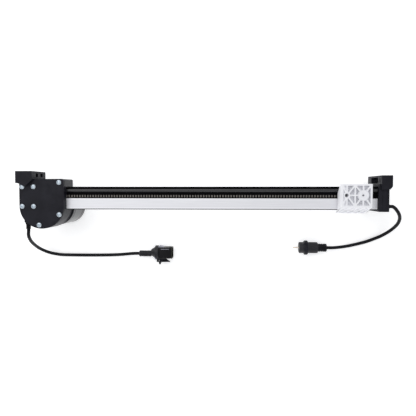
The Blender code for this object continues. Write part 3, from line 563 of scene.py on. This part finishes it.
def body_outline(inset=0.0, steps=64):
    """The gearbox from the front: a half circle below, a box with round corners above."""
    half, top, corner = BOX_R - inset, BOX_TOP - inset, max(3.0 - inset, 0.5)
    points = arc((BOX_X, BOX_Y), half, 180, 360, steps)
    points += arc((BOX_X + half - corner, top - corner), corner, 0, 90, 6)
    points += arc((BOX_X - half + corner, top - corner), corner, 90, 180, 6)
    return points


def housing():
    shell = bevel(prism("housing", [body_outline()], 64.0, 107.0), 0.9, 3, 50)
    shell = join(shell, rod("cable_boss", (GLAND_X, -43.7, GLAND_Z), 26, 7.0, "Y", 48, 0.8))
    shell = cut(shell, prism("cavity", [body_outline(2.6)], 66.6, 110.0),
                prism("window", [rounded_rect((-13.6, 81.0), (10.8, 97.0), 1.5)], -254.0, -246.0, "X"),
                prism("seam_groove", [body_outline(-1.0), body_outline(0.45)], 104.6, 105.1),
                prism("rear_groove", [body_outline(-1.0), body_outline(0.5)], 70.4, 71.2))
    ribs = []
    for i, (x, y) in enumerate(COVER_SCREWS):
        ribs.append(rod(f"boss_{i}", (x, y, 66.0), 40.8, 4.5, "Z", 32))
    shell = join(shell, *ribs)
    dress(shell, HOUSING, "gearbox_housing")


def cover():
    plate = prism("cover_plate", [body_outline(0.0, 96)], 107.3, 110.0)
    plate = bevel(plate, 0.8, 4, 50)
    sinks = [rod(f"sink_{i}", (x, y, 109.5), 2, 5.3, "Z", 48) for i, (x, y) in enumerate(COVER_SCREWS)]
    plate = cut(plate, *sinks)
    rim = prism("rim", [body_outline(1.6, 96), body_outline(2.1, 96)], 109.75, 111.0)
    plate = cut(plate, rim)
    dress(plate, BLACK, "front_cover")


def hook():
    """The left hanging bracket: a nose in front of the cover, and an arm over the housing with two slots."""
    front = [(-336.5, 52.7), (-336.5, 31.0), (-331.0, 30.2), (-319.0, 25.0), (-305.6, 36.6), (-305.6, 52.7)]
    nose = prism("hook", [fillet(front, 1.2)], 110.3, 116.0)
    arm = prism("hook_arm", [rounded_rect((38.7, 58.0), (52.7, 115.5), 1.4)], -336.5, -305.6, "X")
    piece = join(nose, arm)
    slots = [prism(f"hook_slot_{i}", [rounded_rect((42.4, z - 4.5), (49.0, z + 4.5), 1.6)], -340, -300, "X")
             for i, z in enumerate((75.5, 94.5))]
    rooms = [rod(f"room_{i}", (x, y, 109.0), 5.4, 5.6, "Z", 48) for i, (x, y) in enumerate(COVER_SCREWS[1:3])]
    waist = prism("hook_waist", [rounded_rect((38.0, 62.0), (40.6, 68.0), 0.8)], -340, -300, "X")
    groove = [(51.9, 108.2), (53.5, 108.2), (53.5, 109.4), (51.9, 109.4)]
    top_groove = prism("hook_top", [groove], -340, -300, "X")
    piece = cut(piece, *slots, *rooms, waist, top_groove)
    dress(bevel(piece, 0.5, 2, 40), BLACK, "left_hook_bracket")


def motor():
    r = MOTOR_R
    can = [(4.6, 63.7), (r - 3.2, 63.7)]
    can += [(r - 1.2 + 1.2 * math.sin(a), 62.5 + 1.2 * math.cos(a))
            for a in (math.radians(15 * k) for k in range(7))]
    can += [(r, 56.0), (r - 0.5, 55.6), (r - 0.5, 54.8), (r, 54.4), (r, 14.4), (r - 0.5, 14.0),
            (r - 0.5, 13.2), (r, 12.8), (r, 4.4), (r - 0.3, 4.0), (r - 1.6, 4.0), (r - 1.6, 61.3),
            (4.6, 61.3), (4.6, 63.7)]
    shell = lathe("motor_shell", can, (MOTOR_X, MOTOR_Y, 0), "Z", 128)
    dress(shell, MOTOR, "motor_can")
    inner = r - 1.9
    cap = [(0, 2.2), (5.4, 2.2), (5.4, 7.0), (8.0, 7.0), (8.0, 2.4), (inner - 2, 2.4), (inner - 2, 7.0),
           (inner, 7.0), (inner, 3.7), (r - 0.2, 3.7), (r, 3.5), (r, 1.8), (r - 0.5, 0.6), (r - 1.8, 0.0),
           (24.0, 0.0), (23.6, 0.5), (22.6, 0.5), (22.2, 0.0), (9.0, 0.0), (8.6, 0.6), (0, 0.6)]
    end = lathe("motor_cap", cap, (MOTOR_X, MOTOR_Y, 0), "Z", 96)
    vents = []
    for k in range(8):
        turn = math.radians(45 * k)
        vent = prism(f"vent_{k}", [rounded_rect((12.0, -2.2), (20.0, 2.2), 2.0)], -1.0, 1.6)
        vent.data.transform(Matrix.Translation((MOTOR_X * MM, MOTOR_Y * MM, 0))
                            @ Matrix.Rotation(turn, 4, "Z"))
        vents.append(vent)
    dress(cut(end, *vents), MOTOR, "motor_end_cap")


# ---------------------------------------------------------------- rail

RAIL_LEFT, RAIL_RIGHT = -248.8, 314.3
LEDS, OPAL_RIBS = 56, 24


def rail():
    """The silver extrusion with its light channel, two thin beads in a lighter aluminium as painted highlight
    lines, and a matt black strip along its lower face edge as painted shade.
    """
    outline = [(2.6, 97.75), (1.6, 97.75), (1.4, 98.0), (-16.1, 98.0), (-16.3, 97.0)]
    outline += arc((-16.3, 95.8), 1.2, 90, 180, 6)
    outline += [(-17.5, 84.9), (-17.2, 84.5), (-14.0, 84.5), (-14.0, 71.5), (-17.2, 71.5), (-17.5, 71.1),
                (-17.5, 68.6), (-16.9, 68.0), (22.3, 68.0), (22.3, 80.0), (20.6, 80.0), (20.6, 73.6),
                (16.6, 73.6), (16.6, 69.8), (-12.6, 69.8), (-12.6, 96.2), (3.0, 96.2), (3.0, 97.35)]
    bar = prism("rail_bar", [outline], RAIL_LEFT, RAIL_RIGHT, "X")
    holes = [rod(f"rail_hole_{i}", (305.0, y, z), 12, 1.7, "X", 24) for i, (y, z) in enumerate(END_SCREWS)]
    dress(cut(bar, *holes), SILVER, "rail_extrusion", angle=50)
    # Two thin beads in the lighter aluminium paint the bright highlight lines along the silver face.
    beads = []
    for y in (0.1, -13.9):
        bead = [(y + 0.45 * math.cos(math.radians(a)), 97.9 + 0.4 * math.sin(math.radians(a)))
                for a in range(0, 181, 15)]
        beads.append(prism("rail_highlight_line", [bead], RAIL_LEFT, RAIL_RIGHT, "X"))
    dress(merged("rail_highlight_lines", beads), HIGHLIGHT_EDGE)
    # A matt black strip under the silver face: painted shade along the rail's lower front edge.
    strip = [(-17.5, 97.2), (-16.3, 97.2), (-16.3, 96.4), (-17.5, 96.4)]
    dress(prism("rail_shade_strip", [strip], RAIL_LEFT, RAIL_RIGHT, "X"), MATT)
    # Matt black blocks behind the belt and at the slot's right end: painted shade in the belt slot.
    slot_shade = [block("slot_shade_block", (RAIL_LEFT + 2, 1.0, 80.5), (303.0, 12.5, 82.0)),
             block("slot_end_shade", (300.5, 3.1, 95.0), (RAIL_RIGHT, 9.9, 97.4))]
    dress(merged("slot_shade_blocks", slot_shade), MATT)


def rail_cover():
    """The black strip: a flat top edge, a groove, the convex band and the lip above the slot."""
    band = [(17.3 + 2.9 * math.cos(math.radians(a)), 98.0 + 2.2 * math.sin(math.radians(a)))
            for a in range(0, 181, 6)]
    outline = [(24.3, 68.5), (24.3, 97.2)] + arc((23.5, 97.2), 0.8, 0, 90, 5)
    outline += [(22.3, 98.0), (22.0, 97.0), (20.9, 97.0), (20.3, 97.6), (14.3, 97.6), (13.4, 96.8),
                (10.6, 96.8), (10.2, 96.65), (10.0, 96.3), (10.0, 95.4), (22.6, 95.4), (22.6, 68.0),
                (23.8, 68.0)]
    strip = prism("rail_strip", [outline], RAIL_LEFT, RAIL_RIGHT, "X")
    dress(strip, MATT, "rail_cover", angle=28)
    bead = prism("rail_bead", [[(20.2, 97.7)] + band + [(14.4, 97.7)]], RAIL_LEFT, RAIL_RIGHT, "X")
    dress(bead, GLOSS, angle=28)


def lights():
    """The board with its row of small LEDs, and the ribbed opal strip over them."""
    left, right = RAIL_LEFT + 2, RAIL_RIGHT - 2
    parts = [block("board", (left, -15.3, 71.8), (right, -14.3, 84.2))]
    for i in range(LEDS):
        x = left + 5 + (right - left - 10) * i / (LEDS - 1)
        parts.append(block(f"led_{i}", (x - 1.4, -15.75, 76.6), (x + 1.4, -15.25, 79.4)))
    dress(merged("led_strip", parts), BOARD, "led_board")
    low, high = 71.8, 84.2
    outline = [(-16.1, low), (-16.1, high)]
    for k in range(OPAL_RIBS):
        z = high - (high - low) * k / OPAL_RIBS
        outline += [(-16.55, z), (-16.85, z - 0.26)]
    outline += [(-16.55, low)]
    strip = prism("opal_cover", [outline], RAIL_LEFT + 0.5, RAIL_RIGHT - 0.5, "X")
    dress(strip, LENS, "led_diffuser")


TEETH = 12
PITCH = 5.0
PITCH_R = TEETH * PITCH / (2 * math.pi)
IDLER_X = 318.0
BELT_Z = (84.0, 94.6)


def belt():
    """The toothed belt: a black band, the teeth inside it and their cloth-faced ends."""
    def loop(radius, steps=36):
        points = arc((IDLER_X, SHAFT_Y), radius, -90, 90, steps)
        return points + arc((SHAFT_X, SHAFT_Y), radius, 90, 270, steps)

    band = prism("belt_band", [loop(PITCH_R + 1.17), loop(PITCH_R - 0.57)], BELT_Z[0], BELT_Z[1])
    dress(band, BELT, "drive_belt")
    root, tip = PITCH_R + 0.9, PITCH_R - 3.3
    teeth, ends = [], []
    run = IDLER_X - SHAFT_X
    for k in range(int(run / PITCH)):
        x = SHAFT_X + PITCH * (k + 0.5)
        for side in (1, -1):
            shape = [(x - 1.35, SHAFT_Y + side * root), (x - 1.1, SHAFT_Y + side * tip),
                     (x + 1.1, SHAFT_Y + side * tip), (x + 1.35, SHAFT_Y + side * root)]
            teeth.append(prism("tooth", [fillet(shape, 0.35, 2)], BELT_Z[0] - 0.12, BELT_Z[1] + 0.1))
            ends.append(prism("tooth_end", [fillet(shape, 0.35, 2)], BELT_Z[1] + 0.1, BELT_Z[1] + 0.3))
    dress(merged("belt_teeth", teeth), BELT)
    dress(merged("tooth_ends", ends), TEETH_FACING)


# ---------------------------------------------------------------- carriage

CAR_LEFT, CAR_RIGHT, CAR_TOP, CAR_BOTTOM = 243.7, 295.8, 28.6, -11.6
CAR_FRONT, CAR_BACK, CAR_FLOOR = 130.0, 100.6, 122.0
CAR_TOE = (-23.6, 91.0)
BOSS_A, BOSS_B, BOSS_Y = 253.0, 280.6, 8.9


def inset(points, distance):
    """Move the edges of a convex outline inwards."""
    count = len(points)
    area = sum(points[i][0] * points[(i + 1) % count][1] - points[(i + 1) % count][0] * points[i][1]
               for i in range(count))
    sign = 1 if area > 0 else -1
    moved = []
    for i in range(count):
        before, here, after = Vector(points[i - 1]), Vector(points[i]), Vector(points[(i + 1) % count])
        a, b = (here - before).normalized(), (after - here).normalized()
        na, nb = Vector((-a.y, a.x)) * sign, Vector((-b.y, b.x)) * sign
        moved.append(tuple(here + (na + nb) * (distance / max(1e-6, 1 + na.dot(nb)))))
    return moved


def face_cells():
    """The pockets of the front face, as convex outlines before their ribs are left between them."""
    left, right, low, high = CAR_LEFT + 2.0, CAR_RIGHT - 2.0, CAR_BOTTOM + 2.0, CAR_TOP - 2.0
    mid, y = (BOSS_A + BOSS_B) / 2, BOSS_Y
    return [[(BOSS_A, y), (mid, high), (BOSS_A, high)], [(BOSS_A, y), (mid, low), (BOSS_A, low)],
            [(BOSS_B, y), (mid, high), (BOSS_B, high)], [(BOSS_B, y), (mid, low), (BOSS_B, low)],
            [(BOSS_A, y), (mid, y), (mid, high)], [(BOSS_A, y), (mid, y), (mid, low)],
            [(BOSS_B, y), (mid, y), (mid, high)], [(BOSS_B, y), (mid, y), (mid, low)],
            [(BOSS_B, y), (BOSS_B, high), (right, high)], [(BOSS_B, y), (right, high), (right, low)],
            [(BOSS_B, y), (BOSS_B, low), (right, low)],
            [(BOSS_A, y), (BOSS_A, high), (left, high)], [(BOSS_A, y), (BOSS_A, low), (left, low)],
            [(BOSS_A, y), (left, high), (left, low)]]


def carriage():
    """The white ribbed block that the load bolts to."""
    side = [(12.0, CAR_BACK), (CAR_TOP, 119.0), (CAR_TOP, CAR_FRONT), (CAR_BOTTOM, CAR_FRONT), CAR_TOE,
            (-23.6, 88.5), (-19.4, 88.5), (-19.4, CAR_BACK)]
    shell = bevel(prism("carriage", [side], CAR_LEFT, CAR_RIGHT, "X"), 0.9, 3, 20)
    pockets = []
    for i, cell in enumerate(face_cells()):
        floor = CAR_FLOOR if max(x for x, _ in cell) > BOSS_A + 1 else CAR_FRONT - 3.0
        pockets.append(prism(f"pocket_{i}", [fillet(inset(cell, 1.2), 0.8)], floor, CAR_FRONT + 1))
    keeps = [rod("keep_a", (BOSS_A, BOSS_Y, CAR_FLOOR - 1), 22, 5.6),
             rod("keep_b", (BOSS_B, BOSS_Y, CAR_FLOOR - 1), 22, 9.4)]
    pockets = cut(merged("pockets", pockets), *keeps)
    shell = cut(shell, pockets)
    shell = cut(shell, *slant_pockets())
    face_a, face_b = (BOSS_A, BOSS_Y, CAR_FRONT), (BOSS_B, BOSS_Y, CAR_FRONT)
    shell = cut(shell, rod("hole_a", (BOSS_A, BOSS_Y, CAR_BACK - 1), 40, 3.1),
                rod("hole_b", (BOSS_B, BOSS_Y, 99), 40, 1.8),
                lathe("sink_a", [(0, 1.0), (4.4, 1.0), (4.0, 0.0), (3.1, -1.5), (0, -1.5)], face_a, "Z", 40),
                lathe("sink_b", [(0, 1.0), (3.2, 1.0), (2.6, 0.0), (1.7, -1.2), (0, -1.2)], face_b, "Z", 40),
                lathe("step_b", [(8.0, 0.9), (8.6, 0.9), (8.6, -0.6), (8.0, -0.6), (8.0, 0.9)], face_b),
                lathe("ring_b", [(4.0, 1.0), (4.6, 1.0), (4.6, -0.6), (4.0, -0.6), (4.0, 1.0)], face_b))
    dress(shell, NYLON, "carriage_body", "carriage", 30)


def slant_pockets():
    """Slanting pockets across the underside, between its diagonal ribs."""
    top, foot = Vector((CAR_BOTTOM, CAR_FRONT)), Vector(CAR_TOE)
    along = (foot - top).normalized()
    out = Vector((along.y, -along.x))
    length = (foot - top).length
    solids = []
    for k in range(6):
        x = CAR_LEFT - 6 + 11.5 * k
        cell = [(x, 3.0), (x + 8.6, 3.0), (x - 3.4, length - 3.0), (x - 12.0, length - 3.0)]
        cell = [(min(max(u, CAR_LEFT + 2.2), CAR_RIGHT - 2.2), v) for u, v in cell]
        if max(u for u, _ in cell) - min(u for u, _ in cell) < 2.5:
            continue
        unique = [p for i, p in enumerate(cell) if (Vector(p) - Vector(cell[i - 1])).length > 0.5]
        pocket = prism(f"slant_{k}", [fillet(unique, 0.7)], -1.7, 1.0)
        turn = Matrix(((1, 0, 0, 0), (0, along.x, out.x, 0), (0, along.y, out.y, 0), (0, 0, 0, 1)))
        pocket.data.transform(Matrix.Translation((0, top.x * MM, top.y * MM)) @ turn)
        pocket.data.flip_normals()      # the turn mirrors the pocket
        solids.append(pocket)
    return solids


def carriage_fittings():
    """What is behind the carriage: the belt clamp and two slide pads."""
    outline = [(4.2, 100.3), (9.6, 100.3), (9.6, 95.2), (11.4, 95.2), (11.4, 85.0), (9.7, 85.0), (9.7, 94.9),
               (4.9, 94.9), (4.9, 85.0), (3.4, 85.0), (3.4, 96.0), (4.2, 96.0)]
    clamp = bevel(prism("clamp", [outline], 250.0, 286.0, "X"), 0.15, 2)
    dress(clamp, STEEL, "belt_clamp", "carriage")
    front = cut(block("front_pad", (247.7, -13.0, 98.35), (291.8, 1.5, 100.3)),
                *[rod(f"pad_hole_{i}", (x, -5.8, 97), 5, 1.6, "Z", 24) for i, x in enumerate((258.0, 284.0))])
    dress(bevel(front, 0.3, 2), PAD, "slide_pad_front", "carriage")
    lower = prism("lower_pad", [rounded_rect((-19.1, 88.5), (-17.8, 98.0), 0.4)], 247.7, 291.8, "X")
    grooves = [block(f"pad_groove_{i}", (x, -18.1, 80), (x + 0.8, -16, 100))
               for i, x in enumerate((258, 270.6, 283.2))]
    dress(cut(lower, *grooves), PAD, "slide_pad_lower", "carriage")


# ---------------------------------------------------------------- end bracket

def end_bracket():
    body = prism("bracket", [rounded_rect((314.6, -20.5), (332.5, 28.5), 1.2)], 0.0, 105.0)
    arm = prism("arm", [rounded_rect((317.7, 27.5), (336.5, 43.8), 0.9)], 31.0, 110.0)
    under = [(317.7, 19.0), (332.4, 19.0), (336.5, 24.4), (336.5, 29.5), (317.7, 29.5)]
    nose = prism("arm_nose", [fillet(under, 0.8)], 90.0, 110.0)
    piece = join(bevel(body, 0.6, 2), bevel(arm, 0.6, 2), bevel(nose, 0.5, 2))
    piece = join(piece, rod("round_boss", (317.4, 24.0, 98.0), 2.0, 3.0, "X", 32, 0.4))
    slot = rounded_rect((30.3, 51.0), (40.6, 89.0), 3.0, 6)
    piece = cut(piece, prism("arm_slot", [slot], 308.0, 340.0, "X"),
                block("idler_room", (310.0, -13.02, 81.0), (330.5, 10.38, 97.5)),
                block("cord_room", (317.1, -18.0, -1.0), (330.0, 26.0, 74.0)),
                rod("axle_hole", (IDLER_X, SHAFT_Y, 76.5), 25.5, 2.3, "Z", 32),
                rod("relief_hole", (329.0, RELIEF_Y, RELIEF_Z), 6, 4.7, "X", 32))
    lines = [block(f"front_line_{i}", (x, -19.0, 104.6), (x + 0.6, 18.0, 106.0))
             for i, x in enumerate((320.2, 328.6))]
    holes = [rod(f"bracket_hole_{i}", (312.0, y, z), 30, 1.7, "X", 24) for i, (y, z) in enumerate(END_SCREWS)]
    piece = cut(piece, *lines, *holes)
    dress(piece, BLACK, "end_bracket")


# ---------------------------------------------------------------- connectors

def wavy(start, end, base, height, ribs):
    """A ribbed stretch of a turned profile, from start to end."""
    points = []
    step = (end - start) / ribs
    for k in range(ribs):
        z = start + step * k
        points += [(base, z + step * 0.1), (base + height, z + step * 0.25), (base + height, z + step * 0.75),
                   (base, z + step * 0.9)]
    return points


def glands():
    """Tapered strain reliefs with rings."""
    left = [(0, 12), (3.7, 12), (3.7, 0), (5.2, -0.1), (5.2, -2.6), (4.9, -3.0)]
    left += wavy(-3.4, -11.4, 3.75, 0.75, 5) + [(3.7, -11.6), (0, -11.6)]
    dress(lathe("left_gland", left, (GLAND_X, -44.0, GLAND_Z), "Y", 48), RUBBER, "cable_gland")
    right = [(0, 16), (3.4, 16), (3.8, 15.6)] + wavy(15.2, 3.0, 3.8, 0.9, 5)
    right += [(6.0, 2.6), (6.2, 2.3), (6.2, 0.3), (6.0, 0), (4.4, 0), (4.4, -5), (0, -5)]
    dress(lathe("right_gland", right, (332.8, RELIEF_Y, RELIEF_Z), "X", 48), RUBBER,
          "cord_relief_right")


SOCKET_Y, SOCKET_Z = -108.4, 14.6
GRIP_Y = -110.8
CONTACTS_Z = (-4.0, 4.0)
LATCH_PIN = (-90.0, -124.6, 4.6)


def socket_square(half, radius, steps):
    return rounded_rect((SOCKET_Y - half, SOCKET_Z - half), (SOCKET_Y + half, SOCKET_Z + half), radius, steps)


def socket():
    """The ribbed grip, the cone with its lugs and the square shroud."""
    grip = [(0, 24), (5.7, 24)] + wavy(23.6, 4.0, 5.5, 0.7, 8)
    grip += [(6.0, 3.6), (6.2, 3.2), (6.2, 0.9), (5.4, 0), (0, 0)]
    dress(lathe("socket_sleeve", grip, (-131.0, GRIP_Y, SOCKET_Z), "X", 48), CONNECTOR,
          "socket_grip")
    cone = [(0, 16), (13.2, 16), (14.0, 15.4), (14.3, 14.4), (14.3, 9.6), (13.9, 8.6), (12.6, 8.0),
            (11.6, 7.6), (10.4, 6.2), (7.0, 0.8), (6.2, 0), (0, 0)]
    body = lathe("socket_core", cone, (-106.7, SOCKET_Y, SOCKET_Z), "X", 72)
    flats = []
    for k in range(6):
        turn = Matrix.Rotation(math.radians(60 * k + 30), 4, "X")
        flat = block(f"flat_{k}", (-107.0, 10.2, -9), (-98.8, 16.0, 9))
        flat.data.transform(Matrix.Translation(Vector((0, SOCKET_Y, SOCKET_Z)) * MM) @ turn)
        flats.append(flat)
    body = cut(body, *flats)
    body = join(body, *[block(f"lug_{i}", (-95, -127.2, SOCKET_Z + z), (-88, -120, SOCKET_Z + z + 2))
                        for i, z in enumerate((4.4, -6.4))])
    body = cut(body, rod("pin_hole", LATCH_PIN, 20, 1.2, "Z", 24),
               block("body_slot_top", (-97.0, -97.6, 12.6), (-92.5, -93.0, 16.6)))
    dress(bevel(body, 0.25, 2, 40), CONNECTOR, "socket_body")
    outer = socket_square(11.3, 3.6, 8)
    shroud = prism("shroud", [outer], -90.4, -63.5, "X")
    rim_in = [(SOCKET_Y + (y - SOCKET_Y) * 0.96, SOCKET_Z + (z - SOCKET_Z) * 0.96) for y, z in outer]
    shroud = cut(shroud, prism("shroud_rim", [outer, rim_in], -67.3, -66.5, "X"),
                 prism("mouth", [socket_square(9.3, 2.2, 6)], -86.4, -62.0, "X"))
    dress(bevel(shroud, 0.35, 2, 50), SHROUD, "socket_shroud")
    # An olive grey ring at the mouth: painted highlight on the shroud's rim.
    lip = prism("shroud_lip", [outer, socket_square(10.2, 2.8, 8)], -64.4, -63.2, "X")
    dress(lip, RIM_HIGHLIGHT)
    socket_highlights()
    socket_contacts()
    latch()


def socket_highlights():
    """Light grey pieces on the black socket as painted highlights: a line along the shroud, a saddle over its
    top and a stub under the cone.
    """
    saddle_highlight = [(-91.0, -97.4), (-79.0, -97.4), (-83.0, -95.3), (-91.0, -94.2)]
    stub_highlight = [(-100.0, -116.0), (-97.4, -114.6), (-95.4, -121.0), (-97.2, -121.8)]
    # Each piece is a painted highlight in light grey.
    highlight_pieces = [rod("shroud_highlight_line", (-85.6, -100.6, SOCKET_Z + 11.2), 16.5, 0.45, "X", 16, 0.2),
            prism("saddle_highlight", [fillet(saddle_highlight, 0.6)], SOCKET_Z - 8.0, SOCKET_Z + 8.0),
            prism("stub_highlight", [fillet(stub_highlight, 0.4)], SOCKET_Z - 2.5, SOCKET_Z + 10.5)]
    dress(merged("socket_highlights", highlight_pieces), HIGHLIGHT_GREY)


def socket_contacts():
    tube = [(0, 2), (1.3, 2), (1.3, 17.8), (1.5, 18), (2.1, 18), (2.3, 17.8), (2.3, 0.2), (2.1, 0), (0, 0)]
    for i, z in enumerate(CONTACTS_Z):
        dress(lathe(f"contact_{i + 1}", tube, (-86.1, SOCKET_Y, SOCKET_Z + z), "X", 32), BRASS,
              f"socket_contact_{i + 1}")


def latch():
    """The sprung claw under the socket, on its pin."""
    claw = [(-92.0, -126.6), (-92.0, -123.9), (-88.0, -121.6), (-86.0, -120.3), (-79.0, -120.3),
            (-68.2, -127.2), (-86.2, -127.6), (-88.0, -132.6), (-90.2, -132.2), (-91.0, -127.2)]
    piece = prism("latch", [fillet(claw, 0.3, 2)], SOCKET_Z - 4.0, SOCKET_Z + 4.0)
    piece = cut(piece, rod("latch_bore", LATCH_PIN, 20, 1.2, "Z", 24),
                block("latch_slit", (-84.0, -125.4, 13.4), (-75.0, -123.6, 30.0)))
    dress(bevel(piece, 0.25, 2, 40), BLACK, "socket_latch", "latch")


PLUG_Y, PLUG_Z = -96.2, 14.6


def plug():
    """The grooved grip, the round body, the locking ring and the pins."""
    grip = [(0, 17), (7.0, 17), (7.7, 16.5), (8.0, 15.6), (8.0, 10.7), (7.1, 10.3), (7.1, 9.7), (8.0, 9.3),
            (8.0, 6.5), (7.1, 6.1), (7.1, 5.5), (8.0, 5.1), (8.0, 1.6), (7.9, 0.8), (6.9, 0), (0, 0)]
    dress(lathe("plug_sleeve", grip, (226.5, PLUG_Y, PLUG_Z), "X", 56), RUBBER, "plug_grip")
    body = [(0, 36.5), (9.6, 36.5), (10.4, 36.2), (11.0, 35.4), (11.1, 34.6), (11.1, 16.9), (9.2, 16.9),
            (9.2, 9.6), (11.1, 9.6), (11.1, 1.2), (10.8, 0.4), (10.2, 0), (0, 0)]
    core = lathe("plug_core", body, (189.7, PLUG_Y, PLUG_Z), "X", 72)
    ribs = []
    for k in range(18):
        turn = Matrix.Rotation(math.radians(20 * k), 4, "X")
        rib = block(f"plug_slot_{k}", (209.5, 10.75, -0.5), (222.0, 13.0, 0.5))
        rib.data.transform(Matrix.Translation(Vector((0, PLUG_Y, PLUG_Z)) * MM) @ turn)
        ribs.append(rib)
    core = cut(core, *ribs, lathe("plug_face", [(9.0, 1.4), (9.0, -1), (6.6, -1), (6.6, 1.4), (9.0, 1.4)],
                                  (189.7, PLUG_Y, PLUG_Z), "X", 48))
    dress(core, CONNECTOR, "plug_body")
    rim = [(9.5, 6.7), (13.4, 6.7), (14.0, 6.3), (14.2, 5.8), (14.2, 0.9), (14.0, 0.4), (13.4, 0), (9.5, 0),
           (9.5, 6.7)]
    collar = lathe("plug_collar", rim, (199.6, PLUG_Y, PLUG_Z), "X", 72)
    notches = []
    for k in range(24):
        turn = Matrix.Rotation(math.radians(15 * k), 4, "X")
        notch = block(f"notch_{k}", (201.2, 13.7, -0.6), (204.8, 16.0, 0.6))
        notch.data.transform(Matrix.Translation(Vector((0, PLUG_Y, PLUG_Z)) * MM) @ turn)
        notches.append(notch)
    dress(cut(collar, *notches), BLACK, "plug_locking_ring", "locking_ring")
    pin = [(0, 12), (1.0, 12), (1.0, 1.2), (0.95, 0.7), (0.7, 0.25), (0.35, 0.03), (0, 0)]
    for i, z in enumerate(CONTACTS_Z):
        dress(lathe(f"pin_{i + 1}", pin, (177.4, PLUG_Y, PLUG_Z + z), "X", 32), PALE_PIN,
              f"plug_pin_{i + 1}")


# ---------------------------------------------------------------- all together

def inner_pieces():
    """Pieces that keep their CAD shape: shafts, bearings, gears, pulleys, hidden screws and a board."""
    cad(STEEL, "steel", "drive_shaft", "drive_rear_bearing", "drive_front_bearing", "motor_rear_bearing",
        "motor_front_bearing", "motor_stator", "motor_rotor", "idler_axle", "latch_pin")
    cad(BLACK, "black_plastic", "drive_pulley", "idler_pulley")
    cad(NYLON, "white_nylon", "drive_gear")
    cad(BRASS, "brass", "motor_pinion")
    cad(ZINC, "zinc_screws", "hook_screw_1", "hook_screw_2", "motor_screw_1", "motor_screw_2")
    cad(BOARD, "circuit_board", "control_board")


camera()
studio()
glands()
socket()
plug()
cord("lead_left", "cord_left", LEFT_ROUTE)
cord("lead_right", "cord_right", RIGHT_ROUTE)
housing()
cover()
hook()
screws()
motor()
rail()
rail_cover()
lights()
belt()
carriage()
carriage_fittings()
end_bracket()
inner_pieces()
